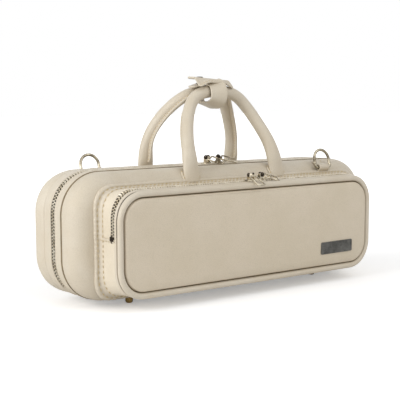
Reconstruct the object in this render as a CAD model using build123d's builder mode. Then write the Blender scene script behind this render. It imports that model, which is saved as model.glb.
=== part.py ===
from math import cos, degrees, radians, sin, sqrt, tan
import os

from build123d import *

# A flute case that stands on four metal feet. Its long side runs along X, its front faces -Y and +Z is up.
# The origin is in the plane of the feet, midway between them, straight under the main zip.

# Case body
case_length = 430
case_height = 137
corner_radius = 45
half_depth = 46
dome_round = 20
shell_wall = 4
foot_height = 8.5

# Gusset, welt and lining of each half
seam_depth = 18
welt_radius = 1.6
welt_sink = 1.5
seam_gap = 0.1
gusset_wall = 2.5
lining_wall = 1.5
fold_gap = 0.2

# Main zip and pocket zip share one section
teeth_gap = 0.4
teeth_width = 2.5
teeth_sink = 0.6
tape_wall = 0.8
tape_width = 9
tape_window = 4.4
zip_end_height = 14
stop_height = 2.2
stop_clearance = 0.6

# Foam inside
foam_clearance = 0.5
tray_face_depth = 2
tray_floor = 8
body_joint_length = 354
head_joint_length = 226
foot_joint_length = 148
joint_width = 42
head_joint_width = 34
joint_wall = 12
lid_pad_thickness = 10

# Feet
foot_end_margin = 77
foot_y = 29
foot_radius = 4.3
foot_washer_radius = 5.5
foot_washer_height = 1.2
foot_chamfer = 0.8
foot_stem_radius = 2
foot_rivet_radius = 4
foot_rivet_height = 1.5
stem_clearance = 0.05

# Front pocket
pocket_end_margin = 30.5
pocket_low_margin = 10
pocket_top_margin = 17
pocket_corner = 28
pocket_depth = 38.3
pocket_wall = 2.5
binding_width = 5
binding_thickness = 3
pocket_zip_depth = 24.5
pocket_tape_window = 4.2
pocket_split_height = 69.7
split_gap = 0.3
pocket_welt_radius = 3.3
groove_width = 0.8
panel_thickness = 3

# Name plate
plate_length = 52
plate_height = 13.7
plate_thickness = 1.2
plate_corner = 1.5
plate_centre_x = 125.8
plate_centre_height = 37.5
plate_pin_radius = 1
plate_pin_length = 2
plate_pin_inset = 4

# Zip sliders and pulls
slider_length = 13
slider_width = 8
slider_plate = 1.6
slider_clearance = 0.3
slider_post = 0.4
pivot_height = 8
pin_radius = 0.9
pin_clearance = 0.1
knuckle_radius = 2
knuckle_length = 4
cheek_gap = 0.3
cheek_wall = 1
pull_length = 23
pull_width = 7.5
pull_thickness = 1.5
pull_neck = 4.5
pull_slot_length = 10
pull_slot_width = 2.5

# Handles
handle_radius = 7.2
handle_bore = 5.2
handle_core = 5
handle_foot_x = 63.4
handle_tab_width = 21
handle_tab_thickness = 4
handle_tab_start = 26
handle_tab_clearance = 0.5
front_handle_foot_angle = 71
front_knee_x = 58
front_knee_y = 29
front_shoulder_x = 45
front_shoulder_y = 12
rear_handle_foot_angle = 62
rear_knee_x = 61.5
rear_knee_y = 40
rear_shoulder_x = 44
rear_shoulder_y = 34
handle_knee_rise = 31
handle_shoulder_rise = 61
handle_crown_rise = 86
handle_crown_y = 8
handle_crown_x = 17
crown_tangent = 8
path_share = 0.45

# Wrap round the two handles
wrap_width = 21
wrap_x = -5
wrap_wall = 2
wrap_clearance = 1.3
wrap_gap = 0.3
wrap_slack = 10
wrap_flap_length = 50
wrap_flap_corner = 4
lower_flap_reach = 6
upper_flap_root = 9
upper_flap_reach = 13
flap_lift = 1
snap_radius = 5
snap_offset = 11
snap_cap_height = 1.6
snap_stem_radius = 2
snap_clearance = 0.05

# D-rings
ring_end_margin = 77
ring_wire = 1.5
ring_width = 27
ring_height = 23.2
ring_top_corner = 11.9
ring_lean = 15
ring_low_corner = 3
ring_tab_width = 16
ring_tab_wall = 2
ring_loop_wall = 1.2
ring_loop_clearance = 0.4
ring_bar_angle = 30
ring_tab_start = 26
ring_tab_end = 62

# Worked out from the above
foot_x = case_length / 2 - foot_end_margin
ring_x = case_length / 2 - ring_end_margin
case_base = foot_height
case_top = case_base + case_height
case_middle = (case_base + case_top) / 2
dome_centre_y = half_depth - dome_round
dome_centre_z = case_top - dome_round
tape_sink = gusset_wall + seam_gap
tape_bottom = tape_sink + tape_wall
lining_sink = max(shell_wall, tape_bottom) + seam_gap
room_sink = lining_sink + lining_wall
room_round = dome_round - room_sink
rivet_reach = max(foot_y + foot_rivet_radius - dome_centre_y, 0)
rivet_low = case_base + room_sink + seam_gap + room_round - sqrt(room_round**2 - rivet_reach**2)
rivet_high = rivet_low + foot_rivet_height

pocket_bottom = case_base + pocket_low_margin
pocket_top = case_top - pocket_top_margin
pocket_middle = (pocket_bottom + pocket_top) / 2
pocket_width = case_length - 2 * pocket_end_margin
pocket_height = pocket_top - pocket_bottom
pocket_front = half_depth + pocket_depth
pocket_zip = half_depth + pocket_zip_depth
pocket_split = case_base + pocket_split_height
pocket_base = half_depth + binding_thickness
welt_depth = pocket_front - pocket_welt_radius
band_end = welt_depth - pocket_welt_radius - seam_gap
panel_inset = 2 * pocket_welt_radius + 2 * groove_width

FRONT = -1
REAR = 1
HALVES = {"front": FRONT, "rear": REAR}
ENDS = {"left": -1, "right": 1}

os.makedirs("parts", exist_ok=True)


def upright(side, depth, middle=case_middle):
    """A plane parallel to the zip plane, facing out of one half, local y up."""
    return Plane(origin=(0, side * depth, middle), x_dir=(-side, 0, 0), z_dir=(0, side, 0))


def outer_face(part, side):
    """The flat face that lies furthest out on one half."""
    return part.faces().sort_by(Axis.Y)[0 if side == FRONT else -1]


def case_outline(inset, mode=Mode.ADD):
    RectangleRounded(case_length - 2 * inset, case_height - 2 * inset, corner_radius - inset, mode=mode)


def pocket_outline(inset, mode=Mode.ADD):
    RectangleRounded(pocket_width - 2 * inset, pocket_height - 2 * inset, pocket_corner - inset, mode=mode)


def case_ring(side, start, end, outer, inner):
    """A band that follows the case outline between two depths and two insets."""
    with BuildPart() as ring:
        with BuildSketch(upright(side, start)):
            case_outline(outer)
            case_outline(inner, mode=Mode.SUBTRACT)
        extrude(amount=end - start)
    return ring.part


def pocket_ring(start, end, outer, inner):
    """A band that follows the pocket outline between two depths and two insets."""
    with BuildPart() as ring:
        with BuildSketch(upright(FRONT, start, pocket_middle)):
            pocket_outline(outer)
            pocket_outline(inner, mode=Mode.SUBTRACT)
        extrude(amount=end - start)
    return ring.part


def dome(side, start, end, inset):
    """A solid dome between two depths, inset all over from the outside of the case."""
    with BuildPart() as block:
        with BuildSketch(upright(side, start)):
            case_outline(inset)
        extrude(amount=end - start)
        fillet(outer_face(block.part, side).edges(), radius=dome_round - inset)
    return block.part


def slab(low, high):
    """Everything between two heights, wide enough for any piece."""
    return Box(
        2 * case_length,
        8 * half_depth,
        high - low,
        align=(Align.CENTER, Align.CENTER, Align.MIN),
    ).moved(Location((0, 0, low)))


def stem_bores(side):
    """The bores for the two foot stems of one half, through wall and lining."""
    rise = room_sink + dome_round
    bore = Cylinder(
        foot_stem_radius + stem_clearance, rise, align=(Align.CENTER, Align.CENTER, Align.MIN)
    )
    return [bore.moved(Location((end * foot_x, side * foot_y, case_base))) for end in ENDS.values()]


# Shells, gussets, welts, linings and zip halves
for half, side in HALVES.items():
    outside = dome(side, seam_depth + welt_radius + seam_gap, half_depth, 0)
    hollow = dome(side, seam_depth + welt_radius + seam_gap, half_depth - shell_wall, shell_wall)
    bores = stem_bores(side)
    with BuildPart() as shell:
        add(outside)
        add(hollow, mode=Mode.SUBTRACT)
        add(bores, mode=Mode.SUBTRACT)
    shell.part.label = f"{half}_shell"
    export_step(shell.part, f"parts/{half}_shell.step")

    band = case_ring(side, tape_window, seam_depth - welt_radius - seam_gap, 0, gusset_wall)
    closing = case_ring(side, fold_gap, tape_window, 0, gusset_wall)
    below_zip = slab(0, case_base + zip_end_height - stop_height - stop_clearance)
    with BuildPart() as gusset:
        add(closing)
        add(below_zip, mode=Mode.INTERSECT)
        add(band)
    gusset.part.label = f"{half}_gusset"
    export_step(gusset.part, f"parts/{half}_gusset.step")

    welt_run = case_length / 2 - welt_sink
    welt_rise = case_height / 2 - welt_sink
    with BuildPart() as welt:
        with BuildLine(upright(side, seam_depth)) as seam:
            FilletPolyline(
                (-welt_run, -welt_rise),
                (welt_run, -welt_rise),
                (welt_run, welt_rise),
                (-welt_run, welt_rise),
                radius=corner_radius - welt_sink,
                close=True,
            )
        with BuildSketch(Plane(origin=seam.line @ 0, z_dir=seam.line % 0)):
            Circle(welt_radius)
        sweep()
    welt.part.label = f"{half}_welt"
    export_step(welt.part, f"parts/{half}_welt.step")

    skin = dome(side, tape_window, half_depth - shell_wall - seam_gap, lining_sink)
    room = dome(side, tape_window, half_depth - shell_wall - seam_gap - lining_wall, room_sink)
    with BuildPart() as lining:
        add(skin)
        add(room, mode=Mode.SUBTRACT)
        add(bores, mode=Mode.SUBTRACT)
    lining.part.label = f"{half}_lining"
    export_step(lining.part, f"parts/{half}_lining.step")

    tape_start = teeth_gap + teeth_width
    tape_ring = case_ring(side, tape_start + seam_gap, tape_start + tape_width, tape_sink, tape_bottom)
    zip_run = slab(case_base + zip_end_height, case_top)
    with BuildPart() as tape:
        add(tape_ring)
        add(zip_run, mode=Mode.INTERSECT)
    tape.part.label = f"{half}_zip_tape"
    export_step(tape.part, f"parts/{half}_zip_tape.step")

    teeth_ring = case_ring(side, teeth_gap, teeth_gap + teeth_width, teeth_sink, tape_bottom)
    with BuildPart() as teeth:
        add(teeth_ring)
        add(zip_run, mode=Mode.INTERSECT)
    teeth.part.label = f"{half}_zip_teeth"
    export_step(teeth.part, f"parts/{half}_zip_teeth.step")

# Stops at the two ends of the main zip
stop_ring = case_ring(REAR, -teeth_gap - teeth_width, teeth_gap + teeth_width, teeth_sink, tape_bottom)
stop_top = case_base + zip_end_height - stop_clearance
for end_name, end in ENDS.items():
    span = slab(stop_top - stop_height + seam_gap, stop_top)
    with BuildPart() as stop:
        add(stop_ring)
        add(span, mode=Mode.INTERSECT)
        split(bisect_by=Plane.YZ, keep=Keep.TOP if end > 0 else Keep.BOTTOM)
    stop.part.label = f"zip_stop_{end_name}"
    export_step(stop.part, f"parts/zip_stop_{end_name}.step")

# Foam tray in the rear half, with a recess for each joint of the flute
tray_sink = room_sink + foam_clearance
tray_back = half_depth - shell_wall - seam_gap - lining_wall - foam_clearance
tray_low = rivet_high + foam_clearance
tray_high = case_top - tray_sink
tray_middle = (tray_low + tray_high) / 2
row_height = (joint_width + joint_wall) / 2
lower_row = -row_height
upper_row = row_height
pair_length = head_joint_length + joint_wall + foot_joint_length
tray_block = dome(REAR, tray_face_depth, tray_back, tray_sink)
above_rivets = slab(tray_low, tray_high)
with BuildPart() as tray:
    add(tray_block)
    add(above_rivets, mode=Mode.INTERSECT)
    with BuildSketch(upright(REAR, tray_face_depth, tray_middle)):
        with Locations((0, lower_row)):
            SlotOverall(body_joint_length, joint_width)
        with Locations(((pair_length - head_joint_length) / 2, upper_row)):
            SlotOverall(head_joint_length, head_joint_width)
        with Locations(((foot_joint_length - pair_length) / 2, upper_row)):
            SlotOverall(foot_joint_length, joint_width)
    extrude(amount=tray_back - tray_floor - tray_face_depth, mode=Mode.SUBTRACT)
tray.part.label = "flute_tray"
export_step(tray.part, "parts/flute_tray.step")

# Foam pad in the lid
pad_block = dome(FRONT, tray_face_depth, tray_back, tray_sink)
with BuildPart() as lid_pad:
    add(pad_block)
    add(above_rivets, mode=Mode.INTERSECT)
    split(bisect_by=Plane.XZ.offset(tray_back - lid_pad_thickness), keep=Keep.TOP)
lid_pad.part.label = "lid_pad"
export_step(lid_pad.part, "parts/lid_pad.step")

# Feet: a turned stud and washer, its stem riveted over inside the lining
for half, side in HALVES.items():
    for end_name, end in ENDS.items():
        foot_plane = Plane(origin=(end * foot_x, side * foot_y, 0), x_dir=(1, 0, 0), z_dir=(0, -1, 0))
        with BuildPart() as foot:
            with BuildSketch(foot_plane):
                with BuildLine():
                    Polyline(
                        (0, 0),
                        (foot_radius - foot_chamfer, 0),
                        (foot_radius, foot_chamfer),
                        (foot_radius, foot_height - foot_washer_height),
                        (foot_washer_radius, foot_height - foot_washer_height),
                        (foot_washer_radius, foot_height - seam_gap),
                        (foot_stem_radius, foot_height - seam_gap),
                        (foot_stem_radius, rivet_low),
                        (foot_rivet_radius, rivet_low),
                        (foot_rivet_radius, rivet_high),
                        (0, rivet_high),
                        close=True,
                    )
                make_face()
            revolve(axis=Axis((end * foot_x, side * foot_y, 0), (0, 0, 1)))
        foot.part.label = f"{half}_foot_{end_name}"
        export_step(foot.part, f"parts/{half}_foot_{end_name}.step")

# Stitched binding that holds the pocket to the case, its back shaped to the dome
dome_seat = dome(FRONT, seam_depth, half_depth + seam_gap, -seam_gap)
with BuildPart() as binding:
    with BuildSketch(upright(FRONT, dome_centre_y, pocket_middle)):
        pocket_outline(-binding_width)
        pocket_outline(pocket_wall, mode=Mode.SUBTRACT)
    extrude(amount=pocket_base - dome_centre_y)
    fillet(outer_face(binding.part, FRONT).outer_wire().edges(), radius=binding_thickness / 3)
    add(dome_seat, mode=Mode.SUBTRACT)
binding.part.label = "pocket_binding"
export_step(binding.part, "parts/pocket_binding.step")

# Fixed band behind the pocket zip
pocket_above = slab(pocket_split + split_gap / 2, pocket_top)
pocket_below = slab(pocket_bottom, pocket_split - split_gap / 2)
rear_band = pocket_ring(pocket_base + seam_gap, pocket_zip - pocket_tape_window, 0, pocket_wall)
with BuildPart() as pocket_band:
    add(rear_band)
    add(pocket_above, mode=Mode.INTERSECT)
pocket_band.part.label = "pocket_band"
export_step(pocket_band.part, "parts/pocket_band.step")


def pocket_pan(start):
    """Band, rim and front panel as one tray-shaped piece, open at the back."""
    with BuildPart() as pan:
        with BuildSketch(upright(FRONT, start, pocket_middle)):
            pocket_outline(0)
        extrude(amount=band_end - start)
        with BuildSketch(upright(FRONT, band_end, pocket_middle)):
            pocket_outline(panel_inset)
        extrude(amount=pocket_front - band_end)
        with BuildSketch(upright(FRONT, start, pocket_middle)):
            pocket_outline(pocket_wall)
        extrude(amount=band_end - pocket_wall - start, mode=Mode.SUBTRACT)
        with BuildSketch(upright(FRONT, start, pocket_middle)):
            pocket_outline(panel_inset + pocket_wall)
        extrude(amount=pocket_front - panel_thickness - start, mode=Mode.SUBTRACT)
    return pan.part


# Lower pocket and upper flap
lower_pan = pocket_pan(pocket_base + seam_gap)
with BuildPart() as pocket_lower:
    add(lower_pan)
    add(pocket_below, mode=Mode.INTERSECT)
pocket_lower.part.label = "pocket_lower"
export_step(pocket_lower.part, "parts/pocket_lower.step")

flap_pan = pocket_pan(pocket_zip + pocket_tape_window)
with BuildPart() as pocket_flap:
    add(flap_pan)
    add(pocket_above, mode=Mode.INTERSECT)
pocket_flap.part.label = "pocket_flap"
export_step(pocket_flap.part, "parts/pocket_flap.step")

# Thick welt round the front edge of the pocket, in two lengths
pocket_welt_inset = pocket_welt_radius + seam_gap
pocket_welt_run = pocket_width / 2 - pocket_welt_inset
pocket_welt_rise = pocket_height / 2 - pocket_welt_inset
with BuildPart() as pocket_welt:
    with BuildLine(upright(FRONT, welt_depth, pocket_middle)) as rim:
        FilletPolyline(
            (-pocket_welt_run, -pocket_welt_rise),
            (pocket_welt_run, -pocket_welt_rise),
            (pocket_welt_run, pocket_welt_rise),
            (-pocket_welt_run, pocket_welt_rise),
            radius=pocket_corner - pocket_welt_inset,
            close=True,
        )
    with BuildSketch(Plane(origin=rim.line @ 0, z_dir=rim.line % 0)):
        Circle(pocket_welt_radius)
    sweep()
with BuildPart() as lower_welt:
    add(pocket_welt.part)
    add(pocket_below, mode=Mode.INTERSECT)
lower_welt.part.label = "pocket_welt_lower"
export_step(lower_welt.part, "parts/pocket_welt_lower.step")
with BuildPart() as flap_welt:
    add(pocket_welt.part)
    add(pocket_above, mode=Mode.INTERSECT)
flap_welt.part.label = "pocket_welt_flap"
export_step(flap_welt.part, "parts/pocket_welt_flap.step")

# Pocket zip: tape and teeth of the fixed band and of the flap
zip_start = pocket_split + split_gap / 2 + stop_height + stop_clearance
pocket_zip_run = slab(zip_start, pocket_top)
fixed_tape_end = pocket_zip - teeth_gap - teeth_width
fixed_row = pocket_ring(fixed_tape_end, pocket_zip - teeth_gap, teeth_sink, tape_bottom)
fixed_tape = pocket_ring(fixed_tape_end - tape_width, fixed_tape_end, tape_sink, tape_bottom)
flap_tape_start = pocket_zip + teeth_gap + teeth_width
flap_row = pocket_ring(pocket_zip + teeth_gap, flap_tape_start, teeth_sink, tape_bottom)
flap_tape = pocket_ring(flap_tape_start, band_end - pocket_wall - seam_gap, tape_sink, tape_bottom)
with BuildPart() as fixed_zip:
    add(fixed_row)
    add(fixed_tape)
    add(pocket_zip_run, mode=Mode.INTERSECT)
fixed_zip.part.label = "pocket_zip_fixed"
export_step(fixed_zip.part, "parts/pocket_zip_fixed.step")
with BuildPart() as flap_zip:
    add(flap_row)
    add(flap_tape)
    add(pocket_zip_run, mode=Mode.INTERSECT)
flap_zip.part.label = "pocket_zip_flap"
export_step(flap_zip.part, "parts/pocket_zip_flap.step")

pocket_stop_ring = pocket_ring(fixed_tape_end, pocket_zip - teeth_gap, teeth_sink, tape_bottom)
pocket_stop_span = slab(zip_start - seam_gap - stop_height, zip_start - seam_gap)
for end_name, end in ENDS.items():
    with BuildPart() as pocket_stop:
        add(pocket_stop_ring)
        add(pocket_stop_span, mode=Mode.INTERSECT)
        split(bisect_by=Plane.YZ, keep=Keep.TOP if end > 0 else Keep.BOTTOM)
    pocket_stop.part.label = f"pocket_stop_{end_name}"
    export_step(pocket_stop.part, f"parts/pocket_stop_{end_name}.step")

# Bare name plate, its two pins pressed into the pocket panel
plate_plane = Plane(
    origin=(plate_centre_x, -pocket_front - seam_gap, case_base + plate_centre_height),
    x_dir=(1, 0, 0),
    z_dir=(0, -1, 0),
)
with BuildPart() as plate:
    with BuildSketch(plate_plane):
        RectangleRounded(plate_length, plate_height, plate_corner)
    extrude(amount=plate_thickness)
    fillet(outer_face(plate.part, FRONT).edges(), radius=plate_thickness / 3)
plate.part.label = "name_plate"
export_step(plate.part, "parts/name_plate.step")


def heading(azimuth):
    """A level direction, turned from +X towards +Y by an angle in degrees."""
    return (cos(radians(azimuth)), sin(radians(azimuth)), 0)


# Sliders and pulls. Each sits on one zip at x, and its pull points along azimuth and hangs down by droop.
zips = {"zip": (0, case_top, REAR), "pocket_zip": (-pocket_zip, pocket_top, FRONT)}
sliders = [
    ("zip", "left", -7, -62, 14),
    ("zip", "right", 10, -38, 12),
    ("pocket_zip", "left", 1.5, -88, 16),
    ("pocket_zip", "right", 17, -18, 16),
]
for zip_name, hand, slider_x, azimuth, droop in sliders:
    zip_y, zip_top, own_side = zips[zip_name]
    seat = Plane(origin=(slider_x, zip_y, zip_top), x_dir=(1, 0, 0), z_dir=(0, 0, 1))
    plate_low = slider_clearance - teeth_sink
    keel_high = -tape_bottom - slider_clearance
    cheek = knuckle_length / 2 + cheek_gap + cheek_wall / 2
    turned = Plane(origin=(slider_x, zip_y, zip_top), x_dir=heading(azimuth), z_dir=(0, 0, 1))
    pin_end = turned.from_local_coords((0, cheek, pivot_height))
    inwards = turned.from_local_coords((0, -1, 0)) - turned.origin
    across = Plane(origin=pin_end, z_dir=inwards)
    with BuildPart() as slider:
        with BuildSketch(seat.offset(plate_low)):
            RectangleRounded(slider_length, slider_width, slider_width / 3)
        extrude(amount=slider_plate)
        with BuildSketch(seat.offset(keel_high - slider_plate)):
            Rectangle(slider_length - slider_width / 2, slider_post)
        extrude(amount=plate_low - keel_high + slider_plate)
        with BuildSketch(seat.offset(keel_high - slider_plate)):
            with Locations((0, own_side * slider_width / 4)):
                Rectangle(slider_length - slider_width / 2, slider_width / 2)
        extrude(amount=slider_plate)
        with BuildSketch(turned.offset(plate_low + slider_plate / 2)):
            with Locations((0, cheek), (0, -cheek)):
                Rectangle(2 * knuckle_radius, cheek_wall)
        extrude(amount=pivot_height + pin_radius + cheek_wall / 2 - plate_low - slider_plate / 2)
        with BuildSketch(across):
            Circle(pin_radius)
        extrude(amount=2 * cheek)
    slider.part.label = f"{zip_name}_slider_{hand}"
    export_step(slider.part, f"parts/{zip_name}_slider_{hand}.step")

    eye_end = turned.from_local_coords((0, knuckle_length / 2, pivot_height))
    eye = Plane(origin=eye_end, x_dir=heading(azimuth), z_dir=inwards)
    lean = radians(droop)
    tag_plane = Plane(
        origin=turned.from_local_coords((0, 0, pivot_height)),
        x_dir=Vector(*heading(azimuth)) * cos(lean) - Vector(0, 0, sin(lean)),
        z_dir=Vector(*heading(azimuth)) * sin(lean) + Vector(0, 0, cos(lean)),
    )
    with BuildPart() as pull:
        with BuildSketch(tag_plane.offset(-pull_thickness / 2)):
            with Locations((pull_neck / 2, 0)):
                Rectangle(pull_neck, knuckle_length)
            with Locations(((pull_neck + pull_length) / 2, 0)):
                RectangleRounded(pull_length - pull_neck, pull_width, pull_width / 3)
            with Locations((pull_length - pull_slot_length / 2 - pull_width / 3, 0)):
                SlotOverall(pull_slot_length, pull_slot_width, mode=Mode.SUBTRACT)
        extrude(amount=pull_thickness)
        with BuildSketch(eye):
            Circle(knuckle_radius)
        extrude(amount=knuckle_length)
        with BuildSketch(eye):
            Circle(pin_radius + pin_clearance)
        extrude(amount=knuckle_length, mode=Mode.SUBTRACT)
    pull.part.label = f"{zip_name}_pull_{hand}"
    export_step(pull.part, f"parts/{zip_name}_pull_{hand}.step")


def shoulder_plane(side, x):
    """The upright plane across the case at x, its origin at the centre of one dome's top round."""
    return Plane(origin=(x, side * dome_centre_y, dome_centre_z), x_dir=(0, side, 0), z_dir=(side, 0, 0))


def shoulder_strip(side, x, width, start, end, thickness):
    """A strip laid over the round top edge of one dome, between two angles above level."""
    inside = dome_round + 2 * seam_gap
    with BuildPart() as strip:
        with BuildSketch(shoulder_plane(side, x)):
            with BuildLine():
                top = CenterArc((0, 0), inside + thickness, start, end - start)
                low = CenterArc((0, 0), inside, start, end - start)
                Line(top @ 0, low @ 0)
                Line(top @ 1, low @ 1)
            make_face()
        extrude(amount=width / 2, both=True)
    return strip.part


# Handles: tube, core and two stitched ends each
handle_tab_top = dome_round + 2 * seam_gap + handle_tab_thickness
handle_pivot_distance = handle_tab_top + handle_tab_clearance + handle_radius
front_knee = (front_knee_x, front_knee_y)
front_shoulder = (front_shoulder_x, front_shoulder_y)
rear_knee = (rear_knee_x, rear_knee_y)
rear_shoulder = (rear_shoulder_x, rear_shoulder_y)
handle_bends = {
    "front": (front_handle_foot_angle, front_knee, front_shoulder),
    "rear": (rear_handle_foot_angle, rear_knee, rear_shoulder),
}
crown_z = case_top + handle_crown_rise
for half, side in HALVES.items():
    pivot_angle, knee, shoulder = handle_bends[half]
    pivot_y = dome_centre_y + handle_pivot_distance * cos(radians(pivot_angle))
    pivot_z = dome_centre_z + handle_pivot_distance * sin(radians(pivot_angle))
    right_half = [
        Vector(handle_foot_x, side * pivot_y, pivot_z),
        Vector(knee[0], side * knee[1], case_top + handle_knee_rise),
        Vector(shoulder[0], side * shoulder[1], case_top + handle_shoulder_rise),
        Vector(handle_crown_x, side * handle_crown_y, crown_z),
    ]
    left_half = [Vector(-point.X, point.Y, point.Z) for point in reversed(right_half)]
    route = right_half + left_half
    bends = []
    for before, here, after in zip(route, route[1:], route[2:]):
        run_in = here - before
        run_out = after - here
        reach = path_share * min(run_in.length, run_out.length)
        if here.Z > crown_z - seam_gap:
            reach = crown_tangent
        bends.append(reach / tan(radians(run_in.get_angle(run_out)) / 2))
    print(half, "handle bend radii", [round(bend, 1) for bend in bends])

    with BuildPart() as tube:
        with BuildLine() as middle_line:
            FilletPolyline(*route, radius=bends)
        with BuildSketch(Plane(origin=middle_line.line @ 0, z_dir=middle_line.line % 0)):
            Circle(handle_radius)
            Circle(handle_bore, mode=Mode.SUBTRACT)
        sweep()
        with Locations(middle_line.line @ 0, middle_line.line @ 1):
            Sphere(handle_radius)
        with BuildSketch(Plane(origin=middle_line.line @ 0, z_dir=middle_line.line % 0)):
            Circle(handle_bore)
        sweep(path=middle_line.line, mode=Mode.SUBTRACT)
    tube.part.label = f"{half}_handle"
    export_step(tube.part, f"parts/{half}_handle.step")

    with BuildPart() as core:
        with BuildLine() as core_line:
            FilletPolyline(*route, radius=bends)
        with BuildSketch(Plane(origin=core_line.line @ 0, z_dir=core_line.line % 0)):
            Circle(handle_core)
        sweep()
    core.part.label = f"{half}_handle_core"
    export_step(core.part, f"parts/{half}_handle_core.step")

    for end_name, end in ENDS.items():
        strip = shoulder_strip(
            side,
            end * handle_foot_x,
            handle_tab_width,
            handle_tab_start,
            pivot_angle + degrees(handle_tab_thickness / dome_round),
            handle_tab_thickness,
        )
        with BuildPart() as tab:
            add(strip)
        tab.part.label = f"{half}_handle_tab_{end_name}"
        export_step(tab.part, f"parts/{half}_handle_tab_{end_name}.step")

# Wrap: one leaf round each handle. The lower flap is part of the rear leaf, and the upper flap is hinged
# to the front leaf.
wrap_radius = handle_radius + wrap_clearance + wrap_wall / 2
wrap_low = crown_z - wrap_radius - wrap_slack
lower_flap_z = crown_z + wrap_radius
upper_flap_z = lower_flap_z + wrap_wall + flap_lift
wrap_side = handle_crown_y + wrap_radius
snap_x = wrap_x - snap_offset
snap_y = (handle_crown_y - lower_flap_reach) / 2
leaf_root = upper_flap_root + wrap_gap / 2
with BuildPart() as front_leaf:
    with BuildLine(Plane.YZ) as leaf_line:
        FilletPolyline(
            (-wrap_gap / 2, wrap_low),
            (-wrap_side, wrap_low),
            (-wrap_side, upper_flap_z),
            (-leaf_root, upper_flap_z),
            radius=[wrap_radius, wrap_side - leaf_root - seam_gap],
        )
    with BuildSketch(Plane(origin=leaf_line.line @ 0, x_dir=(1, 0, 0), z_dir=leaf_line.line % 0)):
        with Locations((wrap_x, 0)):
            Rectangle(wrap_width, wrap_wall)
    sweep()
front_leaf.part.label = "wrap_front_leaf"
export_step(front_leaf.part, "parts/wrap_front_leaf.step")

with BuildPart() as rear_leaf:
    with BuildLine(Plane.YZ) as rear_line:
        FilletPolyline(
            (wrap_gap / 2, wrap_low),
            (wrap_side, wrap_low),
            (wrap_side, lower_flap_z),
            (-lower_flap_reach, lower_flap_z),
            radius=wrap_radius - seam_gap,
        )
    with BuildSketch(Plane(origin=rear_line.line @ 0, x_dir=(1, 0, 0), z_dir=rear_line.line % 0)):
        with Locations((wrap_x, 0)):
            Rectangle(wrap_width, wrap_wall)
    sweep()
    with BuildSketch(Plane.XY.offset(lower_flap_z - wrap_wall / 2)):
        with Locations((wrap_x, snap_y)):
            RectangleRounded(wrap_flap_length, handle_crown_y + lower_flap_reach, wrap_flap_corner)
    extrude(amount=wrap_wall)
    with BuildSketch(Plane.XY.offset(lower_flap_z - wrap_wall / 2)):
        with Locations((snap_x, snap_y)):
            Circle(snap_radius + snap_clearance)
    extrude(amount=wrap_wall, mode=Mode.SUBTRACT)
rear_leaf.part.label = "wrap_rear_leaf"
export_step(rear_leaf.part, "parts/wrap_rear_leaf.step")

with BuildPart() as socket:
    with BuildSketch(Plane.XY.offset(lower_flap_z - wrap_wall / 2)):
        with Locations((snap_x, snap_y)):
            Circle(snap_radius)
            Circle(snap_stem_radius, mode=Mode.SUBTRACT)
    extrude(amount=wrap_wall)
socket.part.label = "snap_socket"
export_step(socket.part, "parts/snap_socket.step")

flap_middle = (upper_flap_reach - upper_flap_root) / 2
with BuildPart() as upper_flap:
    with BuildSketch(Plane.XY.offset(upper_flap_z - wrap_wall / 2)):
        with Locations((wrap_x, flap_middle)):
            RectangleRounded(wrap_flap_length, upper_flap_reach + upper_flap_root, wrap_flap_corner)
        with Locations((snap_x, snap_y)):
            Circle(snap_stem_radius + snap_clearance, mode=Mode.SUBTRACT)
    extrude(amount=wrap_wall)
upper_flap.part.label = "wrap_upper_flap"
export_step(upper_flap.part, "parts/wrap_upper_flap.step")

with BuildPart() as cap:
    with BuildSketch(Plane.XY.offset(upper_flap_z - wrap_wall / 2)):
        with Locations((snap_x, snap_y)):
            Circle(snap_stem_radius)
    extrude(amount=wrap_wall + seam_gap)
    with BuildSketch(Plane.XY.offset(upper_flap_z + wrap_wall / 2 + seam_gap / 2)):
        with Locations((snap_x, snap_y)):
            Circle(snap_radius)
    extrude(amount=snap_cap_height)
    fillet(cap.faces().sort_by(Axis.Z)[-1].edges(), radius=snap_cap_height / 2)
cap.part.label = "snap_cap"
export_step(cap.part, "parts/snap_cap.step")

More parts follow.
